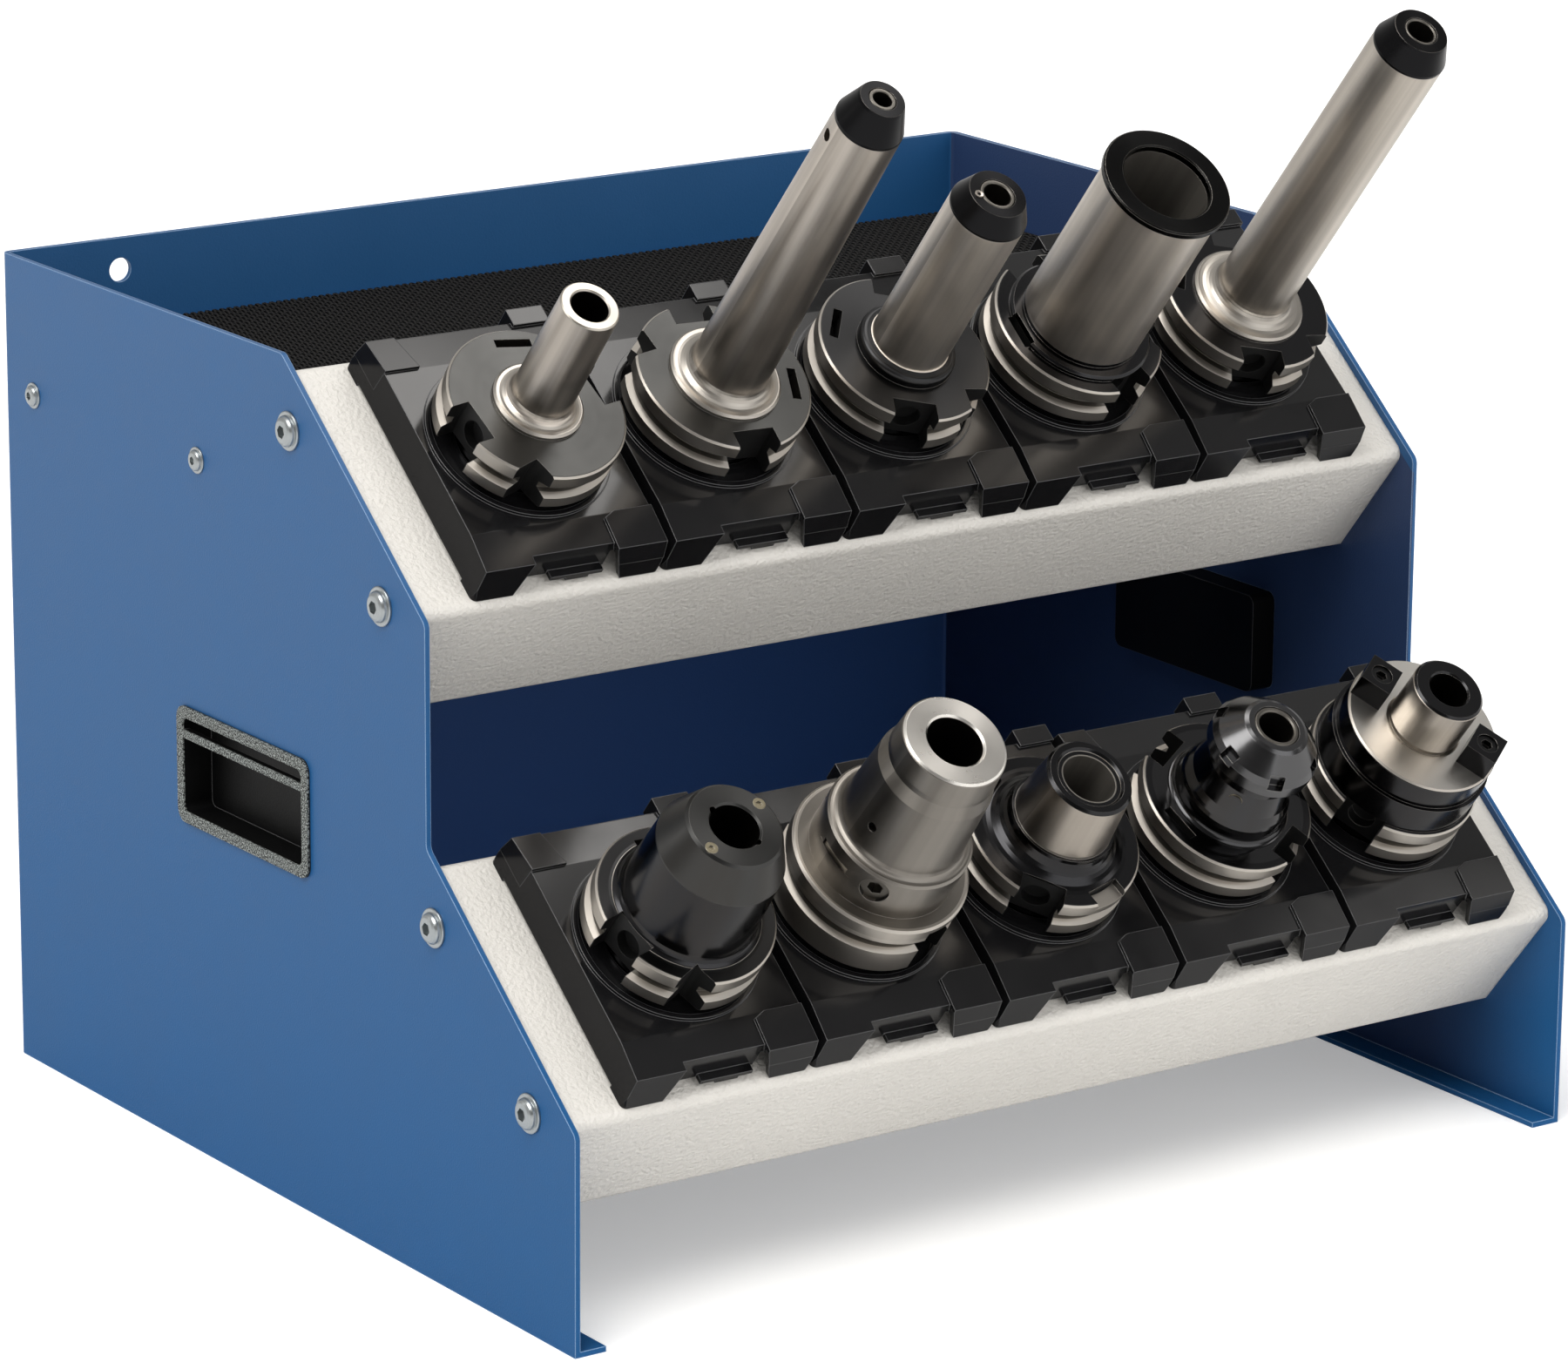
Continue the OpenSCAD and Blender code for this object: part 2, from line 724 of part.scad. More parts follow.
module insert() {
    t = insert_wall;
    foot_len = insert_l * 0.09;
    notch_y = insert_l / 2 - t * 2.6;
    notch_top_w = pitch * 0.43;
    notch_foot_w = pitch * 0.57;
    pad_h = edge_h / 11;
    end_y = insert_l / 2;
    pad_corners = [[[-pitch / 2, crease_y], [-pitch * 0.29, crease_y], [-pitch * 0.33, end_y],
            [-pitch / 2, end_y]],
        [[pitch / 2, -crease_y], [pitch * 0.27, -crease_y], [notch_top_w / 2, -crease_y - t],
            [notch_top_w / 2, -end_y], [pitch / 2, -end_y]]];
    sleeve_r = tray_hole_d / 2 - socket_gap;
    bead_r = tray_hole_d / 2 + t * 0.35;
    tip_r = gauge_r + socket_gap - (seat_h + sleeve_l) * taper_k + t;
    tab_w = pitch * 0.19;
    tab_x = pitch * 0.39;
    color([0.09, 0.09, 0.1])
        union() {
            difference() {
                union() {
                    intersection() {
                        insert_block(0);
                        rounded_slab(pitch - insert_gap, insert_l, deck_h, insert_wall * 1.2);
                    }
                    // Raised corners, at the back left and beside the notch
                    intersection() {
                        translate([0, 0, pad_h])
                            insert_block(0);
                        translate([0, 0, edge_h / 2])
                            linear_extrude(deck_h)
                                for (c = pad_corners)
                                    polygon(c);
                    }
                    cylinder(d = rim_d, h = deck_h + rim_h);
                }
                // Underside hollow
                difference() {
                    translate([0, 0, -over])
                        intersection() {
                            translate([0, 0, over - t])
                                insert_block(-t);
                            cube([pitch, insert_l, 3 * deck_h], center = true);
                        }
                    cylinder(r = sleeve_r, h = deck_h);
                }
                // Bottom edges cleared between the corner feet
                for (s = [-1, 1])
                    translate([s * pitch / 2, 0, 0])
                        cube([pitch / 3, insert_l - 2 * foot_len, t * 1.2], center = true);
                // Front notch between the feet
                translate([0, -notch_y, 0])
                    rotate([90, 0, 0])
                        linear_extrude(insert_l / 4)
                            polygon([[-notch_foot_w / 2, -over], [-notch_top_w / 2, edge_h],
                                [-notch_top_w / 2, 2 * deck_h], [notch_top_w / 2, 2 * deck_h],
                                [notch_top_w / 2, edge_h], [notch_foot_w / 2, -over]]);
                // Field inside the rim
                translate([0, 0, deck_h - rim_h / 2])
                    cylinder(d = rim_d - 2 * t, h = 2 * rim_h);
                seated_taper(socket_gap);
            }
            // Front wall of the notch and its latch
            translate([-notch_top_w / 2, -notch_y, t])
                cube([notch_top_w, t, edge_h - t]);
            translate([-notch_top_w * 0.2, -notch_y - t * 1.6, t * 1.1])
                cube([notch_top_w * 0.64, t * 2, t * 0.8]);
            translate([0, -notch_y - t * 1.6, t * 0.5])
                cube([notch_top_w * 0.28, t * 2, t]);
            // Ear at the back
            translate([tab_x - tab_w / 2, insert_l / 2 - 2 * t, edge_h / 2])
                cube([tab_w, t * 3.4, edge_h / 2 + t * 0.75]);
            // Sleeve through the tray with its snap bead
            difference() {
                rotate_extrude()
                    polygon([[0, 0], [sleeve_r, 0], [sleeve_r, -tray_t - slack],
                        [bead_r, -tray_t - 2 * slack], [bead_r, -tray_t - t * 0.6],
                        [sleeve_r - t / 2, -tray_t - 2 * t], [tip_r, -sleeve_l], [0, -sleeve_l]]);
                seated_taper(socket_gap);
            }
        }
}

module upper_insert(i) {
    on_tier(upper_place, i)
        insert();
}

module lower_insert(i) {
    on_tier(lower_place, i)
        insert();
}

// Tool holders, each drawn on its own axis with the gauge line at zero

// Taper and gripper flange up to the flange's top, from the bottom axis point outwards
function shank_outline(top, mid) = [[0, -taper_l], [taper_end_r, -taper_l], [gauge_r, 0],
    [gauge_r, flange_z], [flange_r - flange_edge, flange_z], [flange_r, flange_z + flange_edge],
    [flange_r, mid - groove_half], [groove_r, mid - groove_floor_half], [groove_r, mid + groove_floor_half],
    [flange_r, mid + groove_half], [flange_r, top - flange_edge], [flange_r - flange_edge, top]];

// Hollow quarter round from a collar up to a round shank
function flare(r, z, f) = arc([r + f, z + f], f, 270, 180);

// Drive slots, orientation notch and data pocket, turned to where they stand in the rack.
// The notch can be left out.
module flange_cuts(turn, top, mid, notched = true) {
    span = top - flange_z + 2 * over;
    notch_w = slot_w * 0.62;
    rotate([0, 0, turn]) {
        for (s = [0, 180])
            rotate([0, 0, s])
                translate([slot_floor, -slot_w / 2, flange_z - over])
                    cube([flange_r, slot_w, span]);
        if (notched)
            rotate([0, 0, 55])
                translate([flange_r, 0, flange_z - over])
                    rotate([0, 0, 45])
                        translate([-notch_w / 2, -notch_w / 2, 0])
                            cube([notch_w, notch_w, span]);
        rotate([0, 0, -105])
            translate([groove_r - slot_w / 4, -slot_w * 0.42, mid])
                cube([slot_w / 5, slot_w * 0.84, span]);
        translate([slot_floor - slot_w / 4, 0, mid])
            rotate([0, 90, 0])
                cylinder(d = chip_d, h = slot_w);
    }
}

// Hole for the pull stud and the coolant way above it
module stud_hole() {
    translate([0, 0, -taper_l - over])
        cylinder(r = stud_thread_r + slack, h = over + stud_thread_l + coolant_r);
    translate([0, 0, -taper_l])
        cylinder(r = coolant_r, h = taper_l);
}

module bore_down(d, top, depth) {
    chamfer = d * 0.04;
    translate([0, 0, top - depth])
        cylinder(d = d, h = depth + over);
    translate([0, 0, top - chamfer])
        cylinder(d1 = d, d2 = d + 2 * chamfer + 2 * over, h = chamfer + over);
}

module turned(points) {
    rotate_extrude()
        polygon(points);
}

module stud() {
    r = taper_end_r;
    knob_r = stud_knob_d / 2;
    neck_r = knob_r * 0.74;
    z = -taper_l;
    color([0.5, 0.5, 0.5])
        difference() {
            turned([[0, z + stud_thread_l], [stud_thread_r * 0.9, z + stud_thread_l],
                [stud_thread_r, z + stud_thread_l * 0.95], [stud_thread_r, z], [r * 0.94, z],
                [r * 0.94, z - stud_l * 0.12], [knob_r * 0.9, z - stud_l * 0.16],
                [knob_r * 0.9, z - stud_l * 0.26], [neck_r, z - stud_l * 0.3], [neck_r, z - stud_l * 0.74],
                [knob_r, z - stud_l * 0.86], [knob_r, z - stud_l * 0.95], [knob_r * 0.85, z - stud_l],
                [0, z - stud_l]]);
            translate([0, 0, z - stud_l - over])
                cylinder(r = coolant_r, h = stud_l + stud_thread_l + 2 * over);
            translate([0, 0, z - stud_l - over])
                cylinder(d = stud_knob_d * 0.5, h = stud_l * 0.3, $fn = 6);
        }
}

collar_h = flange_t / 8;

// Straight or slightly tapered shank on a flared collar
function collar_outline(collar_r, root_r, f) = let (z = flange_top + collar_h)
    concat([[collar_r, flange_top], [collar_r, z - flange_edge], [collar_r - flange_edge, z]],
        flare(root_r, z, f));

module upper_holder_1() {
    r = u1_nose_d / 2;
    root = r * 1.04;
    collar_r = u1_collar_d / 2;
    color([0.66, 0.63, 0.58])
        at_upper(1)
            difference() {
                turned(concat(shank_outline(flange_top, groove_z),
                    collar_outline(collar_r, root, (collar_r - root) * 0.8),
                    [[r, u1_len - nose_edge / 2], [r - nose_edge / 2, u1_len], [0, u1_len]]));
                flange_cuts(-172, flange_top, groove_z);
                stud_hole();
                bore_down(u1_bore_d, u1_len, u1_len * 0.7);
            }
}

// Nose nut with its conical mouth: a cup over the shank's thread
module nose_nut(len_z, shank_r, face_r, nut_l) {
    thread_r = shank_r * 0.78;
    difference() {
        turned([[0, len_z - nut_l], [shank_r, len_z - nut_l], [shank_r, len_z - nut_l * 0.9],
            [face_r + nose_edge / 2, len_z - nose_edge], [face_r, len_z], [0, len_z]]);
        translate([0, 0, len_z - nut_l - over])
            cylinder(r = thread_r + slack, h = nut_l * 0.55 + over);
        translate([0, 0, len_z - nut_l])
            cylinder(r = face_r * 0.62 + slack, h = nut_l + over);
    }
}

module nose_collet(len_z, face_r, nut_l, bore_r) {
    r = face_r * 0.62;
    difference() {
        turned([[0, len_z - nut_l * 1.9], [r * 0.8, len_z - nut_l * 1.9], [r, len_z - nut_l * 0.5],
            [r, len_z - nose_edge * 0.4], [r - nose_edge * 0.4, len_z], [0, len_z]]);
        bore_down(2 * bore_r, len_z, nut_l * 2);
    }
}

// Room in a shank for a nose collet, with the thread that takes the nose nut
module collet_seat(len_z, face_r, nut_l) {
    translate([0, 0, len_z - nut_l * 2])
        cylinder(r = face_r * 0.62 + slack, h = nut_l * 2 + over);
}

function threaded_nose(len_z, shank_r, nut_l) = let (z = len_z - nut_l)
    [[shank_r, z], [shank_r * 0.78, z], [shank_r * 0.78, z + nut_l * 0.5], [0, z + nut_l * 0.5]];

module side_hole(d, z, turn) {
    rotate([0, 0, turn])
        translate([0, 0, z])
            rotate([0, 90, 0])
                cylinder(d = d, h = flange_r);
}

module upper_holder_2() {
    r = u2_shank_d / 2;
    root = u2_root_d / 2;
    collar_r = u2_collar_d / 2;
    color([0.62, 0.6, 0.56])
        at_upper(2)
            difference() {
                turned(concat(shank_outline(flange_top, groove_z),
                    collar_outline(collar_r, root, (collar_r - root) * 0.8),
                    threaded_nose(u2_len, r, u2_nut_l)));
                flange_cuts(88, flange_top, groove_z);
                stud_hole();
                collet_seat(u2_len, u2_face_d / 2, u2_nut_l);
                side_hole(r * 0.36, u2_len - 1.6 * u2_nut_l, 165);
            }
}

module nose_nut_u2() {
    color([0.17, 0.17, 0.17])
        at_upper(2)
            nose_nut(u2_len, u2_shank_d / 2, u2_face_d / 2, u2_nut_l);
}

module nose_collet_u2() {
    color([0.45, 0.45, 0.44])
        at_upper(2)
            nose_collet(u2_len, u2_face_d / 2, u2_nut_l, u2_face_d * 0.21);
}

module upper_holder_3() {
    r = u3_shank_d / 2;
    hub_r = u3_hub_d / 2;
    hub_h = 2 * collar_h;
    color([0.5, 0.48, 0.46])
        at_upper(3)
            difference() {
                turned(concat(shank_outline(flange_top, groove_z), [[hub_r, flange_top]],
                    arc([hub_r - collar_h, flange_top + hub_h - collar_h], collar_h, 0, 90),
                    [[r, flange_top + hub_h + flange_edge]], threaded_nose(u3_len, r, u3_nut_l)));
                flange_cuts(-110, flange_top, groove_z);
                stud_hole();
                collet_seat(u3_len, u3_face_d / 2, u3_nut_l);
            }
}

module nose_nut_u3() {
    color([0.17, 0.17, 0.17])
        at_upper(3)
            nose_nut(u3_len, u3_shank_d / 2, u3_face_d / 2, u3_nut_l);
}

module nose_collet_u3() {
    color([0.45, 0.45, 0.44])
        at_upper(3)
            nose_collet(u3_len, u3_face_d / 2, u3_nut_l, u3_face_d * 0.235);
}

module upper_holder_4() {
    r = u4_tube_d / 2;
    collar_r = u4_collar_d / 2;
    z = u4_len - u4_ring_t;
    color([0.62, 0.6, 0.56])
        at_upper(4)
            difference() {
                turned(concat(shank_outline(flange_top, groove_z),
                    [[collar_r, flange_top], [collar_r, flange_top + collar_h - flange_edge],
                        [collar_r - flange_edge, flange_top + collar_h], [r, flange_top + collar_h],
                        [r, z], [0, z]]));
                flange_cuts(-75, flange_top, groove_z);
                stud_hole();
                translate([0, 0, z * 0.28])
                    cylinder(d = u4_bore_d, h = z);
            }
}

module end_ring_u4() {
    r = u4_ring_d / 2;
    e = u4_ring_t * 0.18;
    z = u4_len - u4_ring_t;
    color([0.17, 0.17, 0.17])
        at_upper(4)
            difference() {
                turned([[0, z], [r - e, z], [r, z + e], [r, u4_len - e], [r - e, u4_len], [0, u4_len]]);
                translate([0, 0, z - over])
                    cylinder(d = u4_bore_d, h = u4_ring_t + 2 * over);
                translate([0, 0, u4_len - e])
                    cylinder(d1 = u4_bore_d, d2 = u4_bore_d + 2 * e + 2 * over, h = e + over);
            }
}

module upper_holder_5() {
    r = u5_shank_d / 2;
    collar_r = u5_collar_d / 2;
    root = r * 1.02;
    color([0.62, 0.6, 0.56])
        at_upper(5)
            difference() {
                turned(concat(shank_outline(flange_top, groove_z),
                    collar_outline(collar_r, root, (collar_r - root) * 0.8),
                    threaded_nose(u5_len, r, u5_nut_l)));
                flange_cuts(-108, flange_top, groove_z);
                stud_hole();
                collet_seat(u5_len, u5_face_d / 2, u5_nut_l);
            }
}

module nose_nut_u5() {
    color([0.17, 0.17, 0.17])
        at_upper(5)
            nose_nut(u5_len, u5_shank_d / 2, u5_face_d / 2, u5_nut_l);
}

module nose_collet_u5() {
    color([0.45, 0.45, 0.44])
        at_upper(5)
            nose_collet(u5_len, u5_face_d / 2, u5_nut_l, u5_face_d * 0.25);
}

// Stout body with a coned nose, and a bore with two relief lobes
l1_turn = -165;
l1_lobe_turn = 123;
l1_screw_turn = 27;
l1_screw_ring = l1_face_d * 0.414;
module lower_holder_1() {
    r = l1_face_d / 2;
    body_r = l1_body_d / 2;
    crease_z = l1_len - l1_cone_l;
    f = (flange_r - body_r) * 0.45;
    color([0.2, 0.2, 0.2])
        at_lower(1)
            difference() {
                turned(concat(shank_outline(flange_top, groove_z), flare(body_r, flange_top, f),
                    [[body_r * 0.95, crease_z], [r, l1_len - nose_edge], [r - nose_edge, l1_len],
                        [0, l1_len]]));
                flange_cuts(l1_turn, flange_top, groove_z);
                stud_hole();
                bore_down(l1_bore_d, l1_len, l1_len * 0.75);
                for (s = [-1, 1])
                    rotate([0, 0, l1_lobe_turn])
                        translate([s * l1_bore_d / 2, 0, l1_len * 0.9])
                            cylinder(r = l1_bore_d * 0.085, h = l1_len);
                for (s = [-1, 1])
                    rotate([0, 0, l1_screw_turn])
                        translate([s * l1_screw_ring, 0, l1_len - nose_edge])
                            cylinder(r = l1_bore_d * 0.13 + slack, h = l1_len);
            }
}

module face_screws_l1() {
    color([0.7, 0.69, 0.66])
        at_lower(1)
            for (s = [-1, 1])
                rotate([0, 0, l1_screw_turn])
                    translate([s * l1_screw_ring, 0, l1_len - nose_edge])
                        difference() {
                            cylinder(r = l1_bore_d * 0.13, h = nose_edge);
                            translate([0, 0, nose_edge / 2])
                                cylinder(r = l1_bore_d * 0.06, h = nose_edge, $fn = 6);
                        }
}

// Hydraulic chuck with a tall flange
l2_top = flange_z + l2_flange_t;
l2_mid = groove_z + (l2_flange_t - flange_t) * 0.8;
l2_disc_t = l2_flange_t / 8;
l2_screw_turn = -134;
l2_screw_z = l2_top + (l2_len - l2_top) * 0.16;
l2_hole_turn = -164;
module lower_holder_2() {
    r = l2_nose_d / 2;
    hub_r = l2_hub_d / 2;
    low = l2_top + (l2_len - l2_top) * 0.27;
    neck = r * 1.19;
    f = (hub_r - neck) * 0.8;
    color([0.55, 0.53, 0.5])
        at_lower(2)
            difference() {
                turned(concat(shank_outline(l2_top, l2_mid),
                    [[hub_r, l2_top], [hub_r, low - flange_edge], [hub_r - flange_edge, low]],
                    flare(neck, low, f), [[r * 1.11, l2_len - r * 0.9], [r * 1.03, l2_len - r * 0.62],
                        [r * 1.03, l2_len - r * 0.5], [r, l2_len - nose_edge], [r - nose_edge, l2_len],
                        [0, l2_len]]));
                flange_cuts(-69, l2_top - l2_disc_t - over, l2_mid);
                stud_hole();
                bore_down(l2_bore_d, l2_len, l2_len * 0.6);
                rotate([0, 0, l2_screw_turn])
                    translate([hub_r * 0.66, 0, l2_screw_z])
                        rotate([0, 90, 0])
                            cylinder(d = l2_screw_d + 2 * slack, h = hub_r);
                rotate([0, 0, l2_hole_turn])
                    translate([r * 0.8, 0, l2_screw_z + (l2_len - l2_top) * 0.3])
                        rotate([0, 90, 0])
                            cylinder(d = l2_screw_d * 0.35, h = r);
            }
}

module clamp_screw_l2() {
    hub_r = l2_hub_d / 2;
    color([0.45, 0.44, 0.42])
        at_lower(2)
            rotate([0, 0, l2_screw_turn])
                translate([hub_r * 0.66, 0, l2_screw_z])
                    rotate([0, 90, 0])
                        difference() {
                            cylinder(d = l2_screw_d, h = hub_r * 0.28);
                            translate([0, 0, hub_r * 0.12])
                                cylinder(d = l2_screw_d * 0.55, h = hub_r, $fn = 6);
                        }
}

module lower_holder_3() {
    r = l3_nose_d / 2;
    root_r = l3_root_d / 2;
    f = flange_t / 2;
    color([0.5, 0.48, 0.46])
        at_lower(3)
            difference() {
                turned(concat(shank_outline(flange_top, groove_z), flare(root_r + nose_edge, flange_top, f),
                    [[root_r, flange_top + f], [r, l3_len - nose_edge], [r - nose_edge, l3_len],
                        [0, l3_len]]));
                flange_cuts(-128, flange_top, groove_z, false);
                // Shallow milled recess in the flange's top
                rotate([0, 0, -76])
                    translate([flange_r - slot_w * 0.4, -slot_w * 0.42, flange_top - flange_t / 6])
                        cube([slot_w, slot_w * 0.84, flange_t]);
                stud_hole();
                bore_down(l3_bore_d + l3_bore_d / 5, l3_len, l3_len * 0.7);
            }
}

module bore_sleeve_l3() {
    d = l3_bore_d * 1.2 - 2 * slack;
    color([0.6, 0.58, 0.55])
        at_lower(3)
            difference() {
                translate([0, 0, l3_len * 0.3])
                    cylinder(d = d, h = l3_len * 0.7 - nose_edge);
                bore_down(l3_bore_d, l3_len, l3_len);
            }
}

module lower_holder_4() {
    nut_r = l4_nut_d / 2;
    dome_r = l4_dome_d / 2;
    nut_z = l4_len - l4_nut_l;
    neck_r = nut_r * 0.81;
    thread_r = nut_r * 0.78;
    thread_z = nut_z + l4_nut_l * 0.55;
    room = nut_z - flange_top;
    f = min(flange_edge * 3, room / 8);
    step_r = (dome_r + neck_r) / 2;
    color([0.17, 0.17, 0.17])
        at_lower(4)
            difference() {
                turned(concat(shank_outline(flange_top, groove_z), flare(dome_r, flange_top, f),
                    [for (a = [15:15:60]) [step_r + (dome_r - step_r) * cos(a),
                        flange_top + f + room * 0.3 * sin(a)]],
                    [[step_r, flange_top + f + room * 0.36], [neck_r, nut_z - room * 0.2], [neck_r, nut_z],
                        [thread_r, nut_z], [thread_r, thread_z], [0, thread_z]]));
                flange_cuts(-60, flange_top, groove_z);
                stud_hole();
                translate([0, 0, nut_z - l4_nut_l])
                    cylinder(r1 = l4_bore_d * 0.62, r2 = l4_face_d / 2 * 0.8 + slack, h = l4_nut_l * 1.6);
            }
}

// Collet nut with six spanner notches
module collet_nut_l4() {
    nut_r = l4_nut_d / 2;
    face_r = l4_face_d / 2;
    z = l4_len - l4_nut_l;
    e = nut_r / 14;
    color([0.22, 0.22, 0.22])
        at_lower(4)
            difference() {
                turned([[0, z], [nut_r - e, z], [nut_r, z + e], [nut_r, l4_len - l4_nut_l * 0.6],
                    [nut_r - e, l4_len - l4_nut_l * 0.46], [face_r + e, l4_len - e / 2],
                    [face_r, l4_len], [0, l4_len]]);
                translate([0, 0, z - over])
                    cylinder(r = nut_r * 0.78 + slack, h = l4_nut_l * 0.58 + over);
                translate([0, 0, z])
                    cylinder(r = face_r * 0.8, h = 2 * l4_nut_l);
                for (a = [0:60:300])
                    rotate([0, 0, a + 10])
                        translate([nut_r * 0.86, -nut_r * 0.14, z + l4_nut_l * 0.32])
                            cube([nut_r, nut_r * 0.28, l4_nut_l]);
            }
}

module collet_l4() {
    face_r = l4_face_d / 2;
    r = face_r * 0.8 - slack;
    color([0.5, 0.49, 0.47])
        at_lower(4)
            difference() {
                turned([[0, l4_len - l4_nut_l * 1.1], [r * 0.86, l4_len - l4_nut_l * 1.1],
                    [r, l4_len - l4_nut_l * 0.4], [r, l4_len - nose_edge / 2], [r - nose_edge / 2, l4_len],
                    [0, l4_len]]);
                bore_down(l4_bore_d, l4_len, l4_nut_l * 1.2);
            }
}

// Arbor for a face mill: contact face, spigot and two drive keys
l5_turn = 126;
l5_key_l = (l5_face_d - l5_spigot_d) / 2 * 0.75;
l5_key_x = l5_spigot_d / 2 + (l5_face_d - l5_spigot_d) / 4 + flange_edge;
module lower_holder_5() {
    r = l5_spigot_d / 2;
    face_r = l5_face_d / 2;
    body_r = face_r * 1.05;
    low = flange_top + (l5_face_z - flange_top) * 0.55;
    color([0.45, 0.44, 0.42])
        at_lower(5)
            difference() {
                turned(concat(shank_outline(flange_top, groove_z),
                    [[body_r, flange_top], [body_r, low], [face_r, low], [face_r, l5_face_z - flange_edge],
                        [face_r - flange_edge, l5_face_z], [r + flange_edge, l5_face_z],
                        [r - flange_edge, l5_face_z - flange_edge],
                        [r - flange_edge, l5_face_z + flange_edge],
                        [r, l5_face_z + 2 * flange_edge],
                        [r, l5_len - nose_edge], [r - nose_edge, l5_len], [0, l5_len]]));
                flange_cuts(-145, flange_top, groove_z, false);
                stud_hole();
                bore_down(l5_bore_d, l5_len, l5_len * 0.5);
                rotate([0, 0, l5_turn])
                    for (s = [-1, 1])
                        translate([s * l5_key_x, 0, l5_face_z - l5_key_h * 0.35])
                            cylinder(r = l5_key_w * 0.17 + slack, h = l5_key_h, center = true);
            }
}

module drive_keys_l5() {
    color([0.14, 0.14, 0.14])
        at_lower(5)
            rotate([0, 0, l5_turn])
                for (s = [-1, 1])
                    translate([s * l5_key_x, 0, l5_face_z])
                        difference() {
                            translate([-l5_key_l / 2, -l5_key_w / 2, 0])
                                cube([l5_key_l, l5_key_w, l5_key_h]);
                            cylinder(r = l5_key_w * 0.17 + slack, h = 3 * l5_key_h, center = true);
                            translate([0, 0, l5_key_h * 0.5])
                                cylinder(r = l5_key_w * 0.3 + slack, h = l5_key_h);
                        }
}

module key_screws_l5() {
    color([0.3, 0.3, 0.3])
        at_lower(5)
            rotate([0, 0, l5_turn])
                for (s = [-1, 1])
                    translate([s * l5_key_x, 0, l5_face_z])
                        difference() {
                            union() {
                                translate([0, 0, -l5_key_h * 0.5])
                                    cylinder(r = l5_key_w * 0.17, h = l5_key_h);
                                translate([0, 0, l5_key_h * 0.5])
                                    cylinder(r = l5_key_w * 0.3, h = l5_key_h * 0.42);
                            }
                            translate([0, 0, l5_key_h * 0.68])
                                cylinder(r = l5_key_w * 0.17, h = l5_key_h, $fn = 6);
                        }
}

casing();
upper_tray();
lower_tray();
top_shelf();
shelf_mat();
upper_insert(1);  // upper_insert_1
upper_insert(2);  // upper_insert_2
upper_insert(3);  // upper_insert_3
upper_insert(4);  // upper_insert_4
upper_insert(5);  // upper_insert_5
lower_insert(1);  // lower_insert_1
lower_insert(2);  // lower_insert_2
lower_insert(3);  // lower_insert_3
lower_insert(4);  // lower_insert_4
lower_insert(5);  // lower_insert_5
left_grip();
right_grip();
tray_screws();
tray_nuts();
shelf_screws();
shelf_nuts();
upper_holder_1();
upper_holder_2();
upper_holder_3();
upper_holder_4();
upper_holder_5();
lower_holder_1();
lower_holder_2();
lower_holder_3();
lower_holder_4();
lower_holder_5();
at_upper(1) stud();  // upper_stud_1
at_upper(2) stud();  // upper_stud_2
at_upper(3) stud();  // upper_stud_3
at_upper(4) stud();  // upper_stud_4
at_upper(5) stud();  // upper_stud_5
at_lower(1) stud();  // lower_stud_1
at_lower(2) stud();  // lower_stud_2
at_lower(3) stud();  // lower_stud_3
at_lower(4) stud();  // lower_stud_4
at_lower(5) stud();  // lower_stud_5
nose_nut_u2();
nose_nut_u3();
nose_nut_u5();
nose_collet_u2();
nose_collet_u3();
nose_collet_u5();
end_ring_u4();
face_screws_l1();
clamp_screw_l2();
bore_sleeve_l3();
collet_nut_l4();
collet_l4();
drive_keys_l5();
key_screws_l5();
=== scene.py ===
import bpy, bmesh, math
from mathutils import Vector, Matrix


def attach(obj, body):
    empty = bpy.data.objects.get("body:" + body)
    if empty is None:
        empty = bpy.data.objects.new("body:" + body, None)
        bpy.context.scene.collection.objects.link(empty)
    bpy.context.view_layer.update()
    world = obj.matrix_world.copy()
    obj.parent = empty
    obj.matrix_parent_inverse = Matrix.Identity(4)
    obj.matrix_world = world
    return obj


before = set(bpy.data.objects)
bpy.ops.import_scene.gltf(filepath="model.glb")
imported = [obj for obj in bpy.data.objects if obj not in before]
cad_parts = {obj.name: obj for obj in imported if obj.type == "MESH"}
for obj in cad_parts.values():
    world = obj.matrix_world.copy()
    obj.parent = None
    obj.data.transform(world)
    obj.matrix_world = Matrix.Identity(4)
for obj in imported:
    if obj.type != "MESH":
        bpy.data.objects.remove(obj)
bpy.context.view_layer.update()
print("stage: frame loaded,", len(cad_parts), "nodes")

# The rack's own layout, in metres, as the CAD has it
layout = {
    "tilt": 39.5,             # slope of both tiers, degrees
    "pitch": 0.075,           # spacing of the holders
    "middle": 3,              # the holder that stands at x = 0
    "gaugeHeight": 0.0154,    # gauge line above the tray
    "centre": {"upper": (0.0, -0.033779, 0.261329), "lower": (0.0, -0.123287, 0.111114)},
}
tiltAngle = math.radians(layout["tilt"])
axisUp = Vector((0.0, -math.sin(tiltAngle), math.cos(tiltAngle)))
slopeUp = Vector((0.0, math.cos(tiltAngle), math.sin(tiltAngle)))
rowNames = ("upper", "lower")
places = range(1, 6)
mm = 1000.0


# Point on a holder's axis at its gauge line
def gaugePoint(row, index):
    aside = Vector(((index - layout["middle"]) * layout["pitch"], 0.0, 0.0))
    return Vector(layout["centre"][row]) + aside + axisUp * layout["gaugeHeight"]


# Direction square to a holder's axis, turned from x up the slope
def radialAt(degrees):
    turn = math.radians(degrees)
    return Vector((1, 0, 0)) * math.cos(turn) + slopeUp * math.sin(turn)


def placeMatrix(x, y, z, origin):
    matrix = Matrix((x, y, z)).transposed().to_4x4()
    matrix.translation = origin
    return matrix


